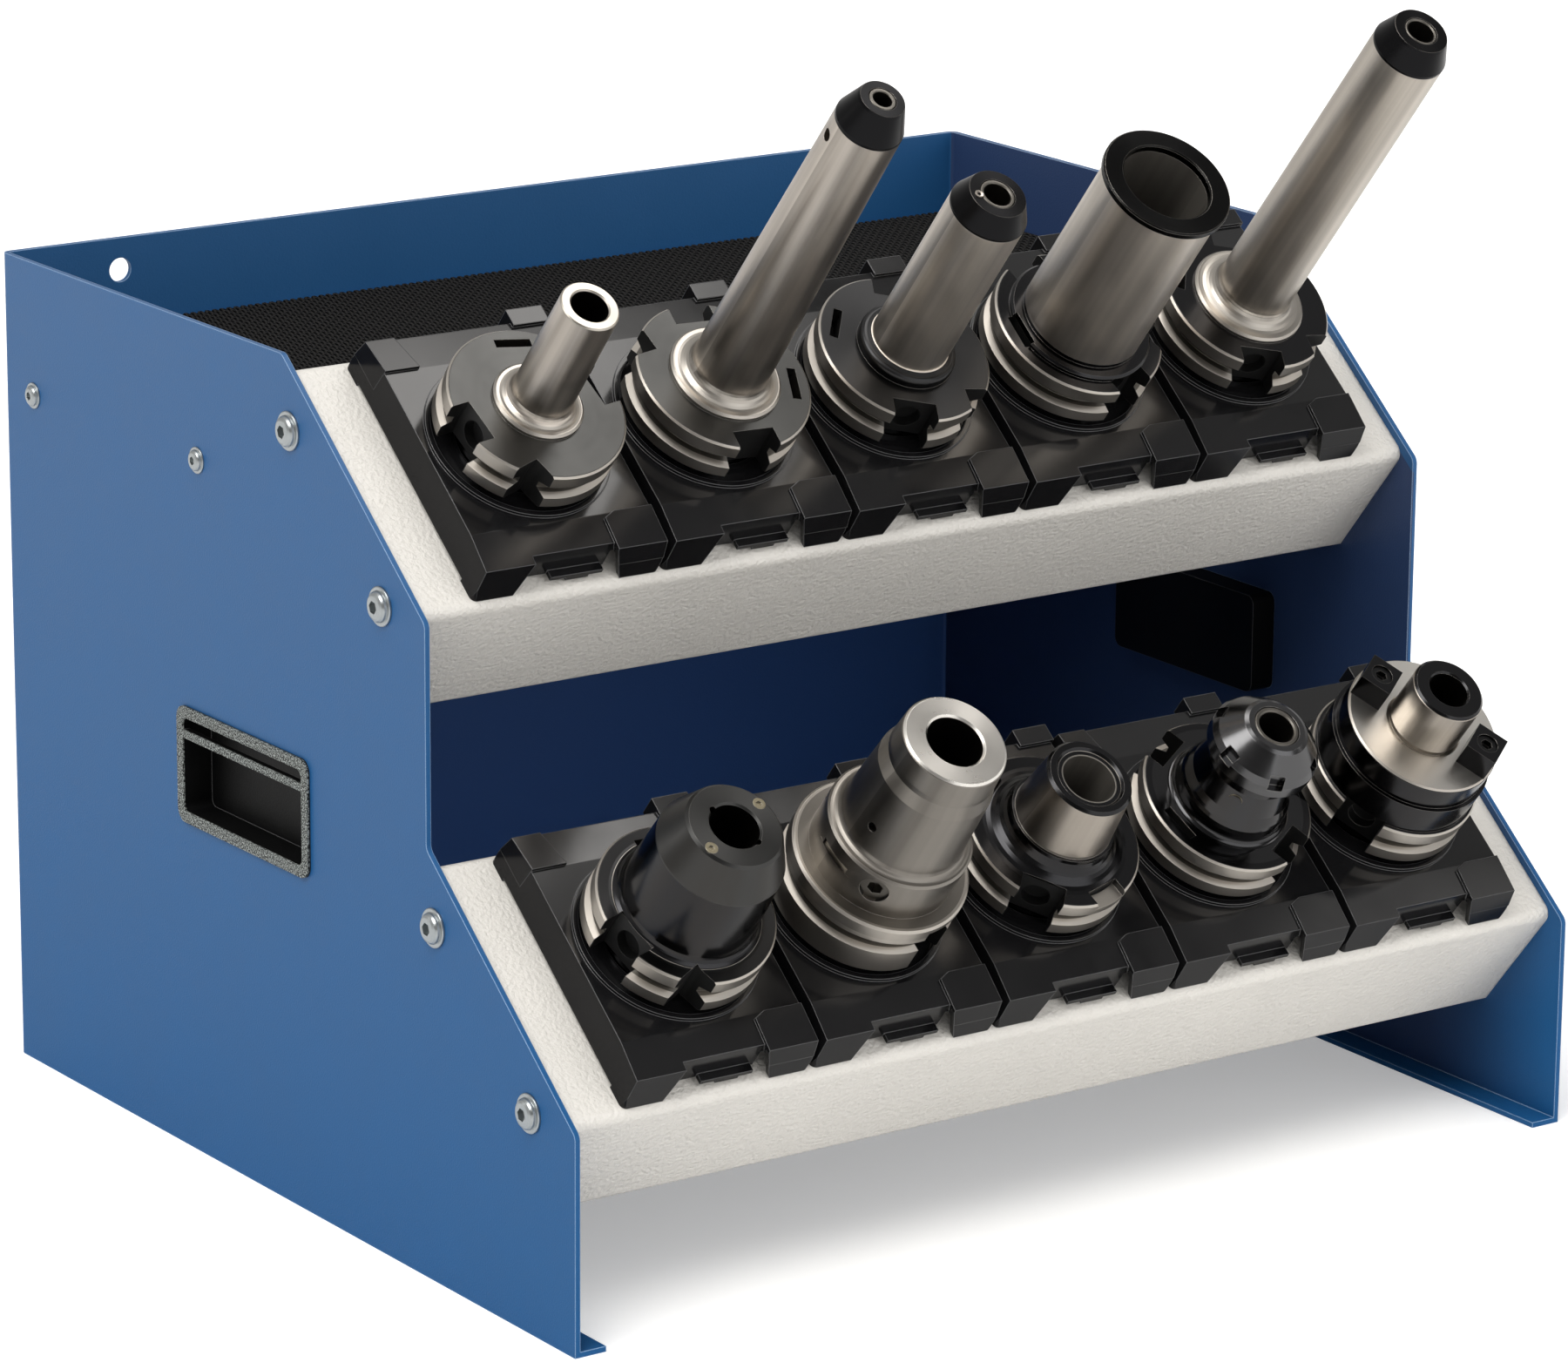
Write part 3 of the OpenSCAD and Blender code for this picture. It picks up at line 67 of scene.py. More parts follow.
# Camera, as fitted to the photograph
cameraView = {
    "azimuth": -34.89, "elevation": 15.559, "roll": 0.428,
    "distance": 2.456726, "right": 0.001837, "up": 0.147054,
    "focalPixels": 7766.52, "imageWidth": 1800.0, "originY": 0.016714,
    "sensor": 36.0, "clip": (0.05, 60.0),
}


def addCamera(c):
    a, e, r = (math.radians(c[k]) for k in ("azimuth", "elevation", "roll"))
    back = Vector((math.sin(a) * math.cos(e), -math.cos(a) * math.cos(e), math.sin(e)))
    right = Vector((math.cos(a), math.sin(a), 0.0))
    up = back.cross(right)
    turnedRight = right * math.cos(r) + up * math.sin(r)
    turnedUp = up * math.cos(r) - right * math.sin(r)
    place = back * c["distance"] + turnedRight * c["right"] + turnedUp * c["up"] + Vector((0, c["originY"], 0))
    data = bpy.data.cameras.new("photoCamera")
    data.sensor_width = c["sensor"]
    data.sensor_fit = "HORIZONTAL"
    data.lens = c["focalPixels"] / c["imageWidth"] * data.sensor_width
    data.clip_start, data.clip_end = c["clip"]
    camera = bpy.data.objects.new("photoCamera", data)
    camera.matrix_world = placeMatrix(turnedRight, turnedUp, back, place)
    bpy.context.collection.objects.link(camera)
    bpy.context.scene.camera = camera


addCamera(cameraView)
bpy.context.scene.view_settings.view_transform = "Standard"
print("stage: camera placed")


# Pieces of node trees: each makes a node and returns what it puts out.
# A value is a number, a colour or a socket.
def feed(tree, socket, value):
    if isinstance(value, bpy.types.NodeSocket):
        tree.links.new(value, socket)
    elif socket.type == "RGBA":
        socket.default_value = (*value, 1.0)
    else:
        socket.default_value = value


def mathNode(tree, operation, *values):
    node = tree.nodes.new("ShaderNodeMath")
    node.operation = operation
    for socket, value in zip(node.inputs, values):
        feed(tree, socket, value)
    return node.outputs[0]


def vectorNode(tree, operation, *values):
    node = tree.nodes.new("ShaderNodeVectorMath")
    node.operation = operation
    for socket, value in zip(node.inputs, values):
        feed(tree, socket, value)
    return node.outputs["Value" if operation in ("DOT_PRODUCT", "LENGTH") else "Vector"]


def splitNode(tree, vector):
    node = tree.nodes.new("ShaderNodeSeparateXYZ")
    tree.links.new(vector, node.inputs[0])
    return tuple(node.outputs)


def rangeNode(tree, value, fromMin, fromMax, toMin=0.0, toMax=1.0, smooth=False):
    node = tree.nodes.new("ShaderNodeMapRange")
    if smooth:
        node.interpolation_type = "SMOOTHSTEP"
    limits = {"Value": value, "From Min": fromMin, "From Max": fromMax, "To Min": toMin, "To Max": toMax}
    for label, limit in limits.items():
        feed(tree, node.inputs[label], limit)
    return node.outputs[0]


def noiseNode(tree, vector, scale, detail, roughness):
    node = tree.nodes.new("ShaderNodeTexNoise")
    for label, value in (("Vector", vector), ("Scale", scale), ("Detail", detail), ("Roughness", roughness)):
        feed(tree, node.inputs[label], value)
    return node.outputs["Fac"]


def mixValue(tree, factor, a, b):
    node = tree.nodes.new("ShaderNodeMix")
    node.data_type = "FLOAT"
    for number, value in ((0, factor), (2, a), (3, b)):
        feed(tree, node.inputs[number], value)
    return node.outputs[0]


def mixColour(tree, factor, a, b):
    node = tree.nodes.new("ShaderNodeMix")
    node.data_type = "RGBA"
    for number, value in ((0, factor), (6, a), (7, b)):
        feed(tree, node.inputs[number], value)
    return node.outputs[2]


def bumpNode(tree, height, distance, normal):
    node = tree.nodes.new("ShaderNodeBump")
    node.inputs["Strength"].default_value = 1.0
    for label, value in (("Distance", distance), ("Height", height), ("Normal", normal)):
        feed(tree, node.inputs[label], value)
    return node.outputs["Normal"]


def shaderNode(tree, kind, *values):
    node = tree.nodes.new(kind)
    for socket, value in zip(node.inputs, values):
        feed(tree, socket, value)
    return node.outputs[0]


# Light and floor
studio = {
    "worldLight": 0.62, "worldTint": (1.0, 0.99, 0.975),    # what lights the object
    "frontGlow": 0.12, "backGlow": 0.55,                    # what metal mirrors from the camera's side and from behind
    "glowFrom": -0.9, "glowTo": 0.5, "glowTint": (1.0, 0.985, 0.965),
    "sky": (0.8, 0.8, 0.8),                                 # past the floor's edge
    "sunAway": 3.0,
    "suns": {
        "leftSun": {"power": 1.95, "angle": 40.0, "from": (-0.50, -0.20, 0.84), "tint": (1.0, 0.985, 0.96)},
        "frontFill": {"power": 0.78, "angle": 50.0, "from": (0.30, -0.93, 0.20), "tint": (1.0, 1.0, 1.0)},
    },
    "boxes": {                 # soft boxes that only gloss mirrors: place, target, size, strength
        "top": ((0.26, -0.06, 1.10), (0.26, -0.06, 0.0), (0.70, 0.62), 5.4),
        "side": ((1.10, -0.75, 0.85), (0.0, 0.0, 0.2), (0.22, 0.9), 3.2),
        "left": ((-1.5, 0.9, 0.55), (0.0, 0.0, 0.25), (0.5, 1.2), 2.5),
    },
    "boxTint": (1.0, 0.975, 0.945), "boxFade": (0.18, 0.50),
    "floorColour": (0.93, 0.93, 0.93), "floorRough": 0.9, "floorSize": 40.0,
    "floorLift": 0.30,         # keeps the paper white where the camera sees it
}


def aimed(obj, target):
    direction = Vector(target) - obj.location
    obj.rotation_euler = direction.to_track_quat("-Z", "Y").to_euler()


# Glowing sheet with soft borders, seen by nothing but mirrors
def addSoftBox(name, place, target, size, strength):
    bpy.ops.mesh.primitive_plane_add(size=1.0, location=place)
    sheet = bpy.context.object
    sheet.name = name
    sheet.scale = (*size, 1.0)
    aimed(sheet, target)
    material = bpy.data.materials.new(name + "Glow")
    material.use_nodes = True
    tree = material.node_tree
    tree.nodes.clear()
    far = vectorNode(tree, "LENGTH", tree.nodes.new("ShaderNodeTexCoord").outputs["Object"])
    fade = rangeNode(tree, far, *studio["boxFade"], strength, 0.0, smooth=True)
    glow = shaderNode(tree, "ShaderNodeEmission", studio["boxTint"], fade)
    tree.links.new(glow, tree.nodes.new("ShaderNodeOutputMaterial").inputs["Surface"])
    sheet.data.materials.append(material)
    sheet.visible_camera = sheet.visible_diffuse = sheet.visible_shadow = False


# The world differs for the light it gives, for mirrors and for the camera
def addWorld(s):
    world = bpy.data.worlds.new("studioWorld")
    bpy.context.scene.world = world
    world.use_nodes = True
    tree = world.node_tree
    tree.nodes.clear()
    ray = tree.nodes.new("ShaderNodeLightPath").outputs
    towards = splitNode(tree, tree.nodes.new("ShaderNodeTexCoord").outputs["Generated"])
    glow = rangeNode(tree, towards[1], s["glowFrom"], s["glowTo"], s["frontGlow"], s["backGlow"], smooth=True)
    lit = shaderNode(tree, "ShaderNodeBackground", s["worldTint"], s["worldLight"])
    mirrored = shaderNode(tree, "ShaderNodeBackground", s["glowTint"], glow)
    seen = shaderNode(tree, "ShaderNodeBackground", s["sky"], 1.0)
    onGloss = mathNode(tree, "MAXIMUM", ray["Is Glossy Ray"], ray["Is Transmission Ray"])
    unseen = shaderNode(tree, "ShaderNodeMixShader", onGloss, lit, mirrored)
    shown = shaderNode(tree, "ShaderNodeMixShader", ray["Is Camera Ray"], unseen, seen)
    tree.links.new(shown, tree.nodes.new("ShaderNodeOutputWorld").inputs["Surface"])


def addFloor(s):
    bpy.ops.mesh.primitive_plane_add(size=s["floorSize"], location=(0, 0, 0))
    floor = bpy.context.object
    floor.name = "studioFloor"
    paper = bpy.data.materials.new("floorPaper")
    paper.use_nodes = True
    tree = paper.node_tree
    shader = tree.nodes["Principled BSDF"]
    lift = mathNode(tree, "MULTIPLY", tree.nodes.new("ShaderNodeLightPath").outputs["Is Camera Ray"], s["floorLift"])
    look = {"Base Color": s["floorColour"], "Roughness": s["floorRough"], "Specular IOR Level": 0.0,
            "Emission Color": (1.0, 1.0, 1.0), "Emission Strength": lift}
    for label, value in look.items():
        feed(tree, shader.inputs[label], value)
    floor.data.materials.append(paper)


addWorld(studio)
for sunName, sunSettings in studio["suns"].items():
    sun = bpy.data.objects.new(sunName, bpy.data.lights.new(sunName, "SUN"))
    sun.data.energy = sunSettings["power"]
    sun.data.angle = math.radians(sunSettings["angle"])
    sun.data.color = sunSettings["tint"]
    sun.location = Vector(sunSettings["from"]) * studio["sunAway"]
    aimed(sun, (0, 0, 0))
    bpy.context.collection.objects.link(sun)
for boxName, boxSettings in studio["boxes"].items():
    addSoftBox(boxName + "Box", *boxSettings)
addFloor(studio)
print("stage: light and floor")


# Shared surface effects: how their noises scale and where their masks begin
effectSettings = {
    "peelFine": 3.1, "peelFineShare": 0.35, "peelSpots": 0.02,
    "markScale": 2400.0, "bandScale": 260.0, "faceLimit": 0.9,
    "edgeSamples": 6, "edgeFrom": 0.99, "edgeTo": 0.80,
}


def newGroup(name, inputs, outputs):
    group = bpy.data.node_groups.new(name, "ShaderNodeTree")
    for label, kind, value in inputs:
        socket = group.interface.new_socket(label, in_out="INPUT", socket_type="NodeSocket" + kind)
        if value is not None:
            socket.default_value = value
    for label, kind in outputs:
        group.interface.new_socket(label, in_out="OUTPUT", socket_type="NodeSocket" + kind)
    return group, group.nodes.new("NodeGroupInput").outputs, group.nodes.new("NodeGroupOutput").inputs


# Orange peel of a powder coat: lumps with finer grain on them
def makePeel(s):
    group, given, out = newGroup("peelTexture", [("Vector", "Vector", None), ("Scale", "Float", 700.0)],
                                 [("Height", "Float"), ("Spots", "Float")])
    coarse = noiseNode(group, given["Vector"], given["Scale"], 1.0, 0.4)
    fineScale = mathNode(group, "MULTIPLY", given["Scale"], s["peelFine"])
    fine = noiseNode(group, given["Vector"], fineScale, 2.0, 0.6)
    group.links.new(mathNode(group, "MULTIPLY_ADD", fine, s["peelFineShare"], coarse), out["Height"])
    spotScale = mathNode(group, "MULTIPLY", given["Scale"], s["peelSpots"])
    group.links.new(noiseNode(group, given["Vector"], spotScale, 3.0, 0.6), out["Spots"])
    return group


# Fine rings left by a lathe or grinder, along the radius on a face and along the axis elsewhere
def makeTurned(s):
    group, given, out = newGroup("turnedMarks", [(label, "Float", 0.0) for label in ("Radius", "Height", "Facing")],
                                 [("Marks", "Float"), ("Bands", "Float")])
    onFace = mathNode(group, "GREATER_THAN", mathNode(group, "ABSOLUTE", given["Facing"]), s["faceLimit"])
    joined = group.nodes.new("ShaderNodeCombineXYZ")
    group.links.new(mixValue(group, onFace, given["Height"], given["Radius"]), joined.inputs[0])
    group.links.new(noiseNode(group, joined.outputs[0], s["markScale"], 2.0, 0.7), out["Marks"])
    group.links.new(noiseNode(group, joined.outputs[0], s["bandScale"], 2.0, 0.6), out["Bands"])
    return group


# Mask of one band of a turned part, between two radii and two heights
def makeZone():
    names = ("Radius", "Height", "Inner", "Outer", "Low", "High")
    group, given, out = newGroup("ringZone", [(label, "Float", 0.0) for label in names], [("Mask", "Float")])
    inside = [mathNode(group, operation, given[value], given[limit]) for operation, value, limit in
              (("GREATER_THAN", "Radius", "Inner"), ("LESS_THAN", "Radius", "Outer"),
               ("GREATER_THAN", "Height", "Low"), ("LESS_THAN", "Height", "High"))]
    byRadius = mathNode(group, "MULTIPLY", inside[0], inside[1])
    byHeight = mathNode(group, "MULTIPLY", inside[2], inside[3])
    group.links.new(mathNode(group, "MULTIPLY", byRadius, byHeight), out["Mask"])
    return group


# Softened edge normal, and a mask that is 1 on an edge
def makeEdge(s):
    group, given, out = newGroup("softEdge", [("Radius", "Float", 0.0005)], [("Normal", "Vector"), ("Edge", "Float")])
    bevel = group.nodes.new("ShaderNodeBevel")
    bevel.samples = s["edgeSamples"]
    group.links.new(given["Radius"], bevel.inputs["Radius"])
    plain = group.nodes.new("ShaderNodeNewGeometry").outputs["Normal"]
    along = vectorNode(group, "DOT_PRODUCT", bevel.outputs["Normal"], plain)
    group.links.new(bevel.outputs["Normal"], out["Normal"])
    group.links.new(rangeNode(group, along, s["edgeFrom"], s["edgeTo"]), out["Edge"])
    return group


effects = {"peel": makePeel(effectSettings), "turned": makeTurned(effectSettings), "zone": makeZone(),
           "edge": makeEdge(effectSettings)}
print("stage: surface effects")


def useGroup(tree, key, **values):
    node = tree.nodes.new("ShaderNodeGroup")
    node.node_tree = effects[key]
    for label, value in values.items():
        feed(tree, node.inputs[label], value)
    return node.outputs


def newMaterial(name):
    material = bpy.data.materials.new(name)
    material.use_nodes = True
    tree = material.node_tree
    coord = tree.nodes.new("ShaderNodeTexCoord").outputs["Object"]
    return material, tree, tree.nodes["Principled BSDF"].inputs, coord


# Noise from 0 to 1, as a roughness that swings about a middle value
def roughAbout(tree, noise, swing, middle):
    return mathNode(tree, "MULTIPLY_ADD", noise, swing, middle - swing / 2)


def facingUp(tree):
    normal = tree.nodes.new("ShaderNodeNewGeometry").outputs["Normal"]
    return normal, vectorNode(tree, "DOT_PRODUCT", normal, axisUp)


def dress(nodes, material):
    for name in nodes:
        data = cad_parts[name].data
        if not data.materials:
            data.materials.append(material)
        for i in range(len(data.materials)):
            data.materials[i] = material


# Powder coats of the casing, the shelf and the trays. Gloss runs from floor to top.
# The coats' edge colour is painted lighter along convex edges, a painted edge highlight
coats = {
    "blue": {"colour": (0.014, 0.095, 0.255), "edgeWearAndHighlight": (0.40, 0.56, 0.80), "rough": 0.42, "gloss": (0.12, 0.50),
             "scale": 1500.0, "lump": 0.00006, "edge": 0.0006, "edgeMix": 0.9, "nodes": ["casing", "top_shelf"]},
    "grey": {"colour": (0.755, 0.73, 0.685), "edgeWearAndHighlight": (0.86, 0.84, 0.80), "rough": 0.34, "gloss": (0.65, 0.65),
             "scale": 640.0, "lump": 0.0005, "edge": 0.0012, "edgeMix": 0.4, "nodes": ["upper_tray", "lower_tray"]},
}
coatSpots = {"dark": 0.93, "light": 1.05, "rough": 0.10, "top": 0.4}

# Painted shade and painted light inside the casing: the blue is painted darker on the right wall under the upper tray,
# and lighter and more violet on the back below the shelf
paintedInsideShade = {"wallX": 0.208, "backY": 0.2017, "reach": 0.0007, "trayLine": 0.2882, "shelfZ": 0.262,
            "frontY": (-0.165, -0.10), "wall": (0.026, 0.052, 0.135), "back": (0.045, 0.12, 0.36)}


# Mixes the painted shade into the right wall and the painted lighter tint into the back
def addPaintedInsideShade(tree, coord, base, t):
    x, y, z = splitNode(tree, coord)
    trayLine = mathNode(tree, "MULTIPLY_ADD", y, math.tan(tiltAngle), t["trayLine"])
    onWall = mathNode(tree, "COMPARE", x, t["wallX"], t["reach"])
    onWall = mathNode(tree, "MULTIPLY", onWall, mathNode(tree, "LESS_THAN", z, trayLine))
    onWall = mathNode(tree, "MULTIPLY", onWall, rangeNode(tree, y, *t["frontY"]))
    onBack = mathNode(tree, "COMPARE", y, t["backY"], t["reach"])
    onBack = mathNode(tree, "MULTIPLY", onBack, mathNode(tree, "LESS_THAN", z, t["shelfZ"]))
    return mixColour(tree, onBack, mixColour(tree, onWall, base, t["wall"]), t["back"])


def coatMaterial(name, c):
    material, tree, shader, coord = newMaterial(name)
    peel = useGroup(tree, "peel", Vector=coord, Scale=c["scale"])
    edge = useGroup(tree, "edge", Radius=c["edge"])
    darker = tuple(v * coatSpots["dark"] for v in c["colour"])
    lighter = tuple(min(1.0, v * coatSpots["light"]) for v in c["colour"])
    base = mixColour(tree, peel["Spots"], darker, lighter)
    if name == "blueCoat":
        # Painted shade and painted light deep inside the casing
        base = addPaintedInsideShade(tree, coord, base, paintedInsideShade)
    onEdge = mathNode(tree, "MULTIPLY", edge["Edge"], c["edgeMix"])
    feed(tree, shader["Base Color"], mixColour(tree, onEdge, base, c["edgeWearAndHighlight"]))
    feed(tree, shader["Roughness"], roughAbout(tree, peel["Spots"], coatSpots["rough"], c["rough"]))
    gloss = rangeNode(tree, splitNode(tree, coord)[2], 0.0, coatSpots["top"], *c["gloss"])
    feed(tree, shader["Specular IOR Level"], gloss)
    feed(tree, shader["Normal"], bumpNode(tree, peel["Height"], c["lump"], edge["Normal"]))
    return material


for coatName, coat in coats.items():
    dress(coat["nodes"], coatMaterial(coatName + "Coat", coat))
print("stage: powder coats")

# Moulded plastic of the inserts and grips, and the rubber mat
moulded = {
    "insertPlastic": {"colour": (0.005, 0.005, 0.0055), "rough": 0.15, "gloss": 0.46, "wave": 0.0003,
                      "grain": 0.000001, "grainScale": 2600.0, "edge": 0.0005,
                      "nodes": [row + "_insert_" + str(i) for row in rowNames for i in places]},
    "gripPlastic": {"colour": (0.0015, 0.0016, 0.0018), "rough": 0.5, "gloss": 0.15, "wave": 0.0,
                    "grain": 0.00006, "grainScale": 1500.0, "edge": 0.0004, "nodes": ["left_grip", "right_grip"]},
    "matRubber": {"colour": (0.0008, 0.0008, 0.0009), "rough": 0.8, "gloss": 0.02, "wave": 0.0,
                  "grain": 0.00004, "grainScale": 2400.0, "edge": 0.0003, "nodes": ["shelf_mat"]},
}
# Lighter random patches in the plastics, and a lighter grey painted along convex edges as a painted edge highlight
mouldedPatches = {"scale": 60.0, "waveScale": 22.0, "rough": 0.12, "lighter": 1.4, "lift": 0.002,
                  "edge": (0.15, 0.15, 0.155)}
deck = {"limit": 0.8, "wallGloss": 0.14}    # the walls of an insert mirror less than its deck

# Fine ribs that run slantwise over the mat; their crests are painted lighter as a painted highlight
ribs = {"pitch": 0.00155, "across": (0.926, -0.378, 0.0), "paintedCrestHighlight": (0.030, 0.029, 0.028), "height": 0.0003,
        "sharp": 2.0}

# Rim of a grip, speckled lighter where it lies outside the side panel, a painted highlight on its textured grain; out
# is its distance from the middle
rimSpeckleHighlight = {"out": 0.2105, "scale": 1700.0, "from": 0.46, "to": 0.60,
           "light": (0.36, 0.39, 0.375), "dark": (0.008, 0.009, 0.009)}


def addRibs(tree, coord, base, normal):
    along = vectorNode(tree, "DOT_PRODUCT", coord, ribs["across"])
    turn = mathNode(tree, "MULTIPLY", along, 2 * math.pi / ribs["pitch"])
    wave = mathNode(tree, "MULTIPLY_ADD", mathNode(tree, "SINE", turn), 0.5, 0.5)
    paintedCrestHighlight = mathNode(tree, "POWER", wave, ribs["sharp"])
    return mixColour(tree, paintedCrestHighlight, base, ribs["paintedCrestHighlight"]), bumpNode(tree, wave, ribs["height"], normal)


def addRimSpeckleHighlight(tree, coord, base):
    fromMiddle = mathNode(tree, "ABSOLUTE", splitNode(tree, coord)[0])
    outside = mathNode(tree, "GREATER_THAN", fromMiddle, rimSpeckleHighlight["out"])
    grain = noiseNode(tree, coord, rimSpeckleHighlight["scale"], 2.0, 0.7)
    spots = rangeNode(tree, grain, rimSpeckleHighlight["from"], rimSpeckleHighlight["to"])
    return mixColour(tree, outside, base, mixColour(tree, spots, rimSpeckleHighlight["dark"], rimSpeckleHighlight["light"]))


def mouldedMaterial(name, c):
    material, tree, shader, coord = newMaterial(name)
    edge = useGroup(tree, "edge", Radius=c["edge"])
    grain = noiseNode(tree, coord, c["grainScale"], 2.0, 0.6)
    patch = noiseNode(tree, coord, mouldedPatches["scale"], 3.0, 0.6)
    lighter = tuple(v * mouldedPatches["lighter"] + mouldedPatches["lift"] for v in c["colour"])
    base = mixColour(tree, patch, c["colour"], lighter)
    # Painted edge highlight: a lighter grey along convex edges
    base = mixColour(tree, edge["Edge"], base, mouldedPatches["edge"])
    normal = bumpNode(tree, grain, c["grain"], edge["Normal"])
    gloss = c["gloss"]
    if name == "insertPlastic":
        onDeck = mathNode(tree, "GREATER_THAN", facingUp(tree)[1], deck["limit"])
        gloss = mixValue(tree, onDeck, deck["wallGloss"], gloss)
    if name == "matRubber":
        base, normal = addRibs(tree, coord, base, normal)
    if name == "gripPlastic":
        base = addRimSpeckleHighlight(tree, coord, base)
    if c["wave"]:
        wave = noiseNode(tree, coord, mouldedPatches["waveScale"], 1.0, 0.4)
        normal = bumpNode(tree, wave, c["wave"], normal)
    feed(tree, shader["Base Color"], base)
    feed(tree, shader["Roughness"], roughAbout(tree, patch, mouldedPatches["rough"], c["rough"]))
    feed(tree, shader["Specular IOR Level"], gloss)
    feed(tree, shader["Normal"], normal)
    return material


for mouldedName, settings in moulded.items():
    dress(settings["nodes"], mouldedMaterial(mouldedName, settings))
print("stage: plastics and rubber")

# Zinc-plated screws and nuts
zinc = {"colour": (0.44, 0.47, 0.48), "dark": 0.85, "rough": 0.34, "swing": 0.2, "scale": 900.0, "grain": 0.00002,
        "edge": 0.0003, "nodes": ["tray_screws", "tray_nuts", "shelf_screws", "shelf_nuts"]}


def zincMaterial(c):
    material, tree, shader, coord = newMaterial("zincPlate")
    edge = useGroup(tree, "edge", Radius=c["edge"])
    cloud = noiseNode(tree, coord, c["scale"], 3.0, 0.6)
    darker = tuple(v * c["dark"] for v in c["colour"])
    feed(tree, shader["Base Color"], mixColour(tree, cloud, darker, c["colour"]))
    feed(tree, shader["Metallic"], 1.0)
    feed(tree, shader["Roughness"], roughAbout(tree, cloud, c["swing"], c["rough"]))
    feed(tree, shader["Normal"], bumpNode(tree, cloud, c["grain"], edge["Normal"]))
    return material


dress(zinc["nodes"], zincMaterial(zinc))
print("stage: screws and nuts")

# Finishes of the holders: colour, roughness, metal share, depth of the machining rings and share of bright bare metal
# on edges, which also stands in for a painted edge highlight
finishes = {
    "ground": ((0.50, 0.465, 0.42), 0.34, 1.0, 0.15, 0.35),
    "tube": ((0.54, 0.49, 0.435), 0.28, 1.0, 0.25, 0.2),
    # The next three are the tube finish recoloured per holder: the first painted darker as painted shade, the other
    # two lighter as painted light
    "tubePaintedShade": ((0.41, 0.37, 0.325), 0.28, 1.0, 0.25, 0.2),
    "tubePaintedLight": ((0.82, 0.75, 0.665), 0.33, 1.0, 0.25, 0.2),
    "tubePaintedBright": ((0.66, 0.605, 0.535), 0.33, 1.0, 0.25, 0.2),
    "polished": ((0.44, 0.41, 0.37), 0.30, 1.0, 0.2, 0.2),
    "satinGrey": ((0.075, 0.075, 0.073), 0.32, 1.0, 0.3, 0.35),
    "black": ((0.036, 0.036, 0.038), 0.15, 1.0, 0.2, 0.30),
    "hubGloss": ((0.055, 0.055, 0.057), 0.10, 1.0, 0.2, 0.30),
    "nutBlack": ((0.015, 0.015, 0.016), 0.26, 1.0, 0.3, 0.35),
    "nutGloss": ((0.105, 0.105, 0.108), 0.14, 1.0, 0.2, 0.30),
    "ringBlack": ((0.012, 0.012, 0.012), 0.20, 1.0, 0.2, 0.60),
    "blackSatin": ((0.040, 0.040, 0.041), 0.28, 1.0, 0.3, 0.30),
    "coneSatin": ((0.062, 0.062, 0.061), 0.28, 1.0, 0.4, 0.25),
    "groove": ((0.15, 0.14, 0.125), 0.35, 1.0, 0.2, 0.1),
    "warm": ((0.25, 0.232, 0.208), 0.32, 1.0, 0.4, 0.25),
    "face": ((0.50, 0.465, 0.41), 0.30, 1.0, 0.5, 0.2),
    "dullFace": ((0.82, 0.79, 0.74), 0.26, 1.0, 0.12, 0.3),
    # The bore finish is painted shade: a near-black steel inside the bores
    "bore": ((0.10, 0.092, 0.082), 0.32, 1.0, 0.8, 0.3),
    "openBore": ((0.17, 0.158, 0.14), 0.30, 0.6, 0.3, 0.3),
    "brass": ((0.22, 0.195, 0.135), 0.30, 1.0, 0.1, 0.5),
    # The dark finish is painted shade for slot floors and cut walls
    "dark": ((0.004, 0.004, 0.004), 0.5, 0.0, 0.3, 0.0),
}
turned = {
    "sheen": 0.55,                  # how far the machining rings stretch a highlight
    "markDepth": 0.0000025,
    # The edge colour below is also a painted edge highlight
    "edgeWearAndHighlight": (0.62, 0.58, 0.53),     # bare metal on an edge
    "cloudScale": 90.0, "cloudRough": 0.10, "bandRough": 0.06,
}

# Painted reflection bands: soft light and dark streaks along the noses: how many, how dark, and above which height in
# mm
reflectionStreaks = {"count": 1.6, "dark": 0.45, "from": 21.0, "noise": (0.38, 0.66), "sideLimit": 0.6,
           "colour": (0.05, 0.045, 0.04), "seedStep": 7.0}

# Walls that a cutter left in a flange, beyond a radius, and the drive slots, all painted near-black as painted shade:
# half width and lower end, in mm
cuts = {"facing": 0.45, "radius": 19.0, "slotHalfWidth": 8.2, "slotLow": 3.3}


def addReflectionStreaks(tree, colour, x, y, z, facing, seed):
    spot = tree.nodes.new("ShaderNodeCombineXYZ")
    feed(tree, spot.inputs[0], mathNode(tree, "ARCTAN2", y, x))
    feed(tree, spot.inputs[1], seed)
    noise = noiseNode(tree, spot.outputs[0], reflectionStreaks["count"], 3.0, 0.55)
    reflectionStreak = rangeNode(tree, noise, *reflectionStreaks["noise"], 0.0, reflectionStreaks["dark"])
    onSide = mathNode(tree, "LESS_THAN", mathNode(tree, "ABSOLUTE", facing), reflectionStreaks["sideLimit"])
    onNose = mathNode(tree, "MULTIPLY", onSide, mathNode(tree, "GREATER_THAN", z, reflectionStreaks["from"] / mm))
    return mixColour(tree, mathNode(tree, "MULTIPLY", reflectionStreak, onNose), colour, reflectionStreaks["colour"])


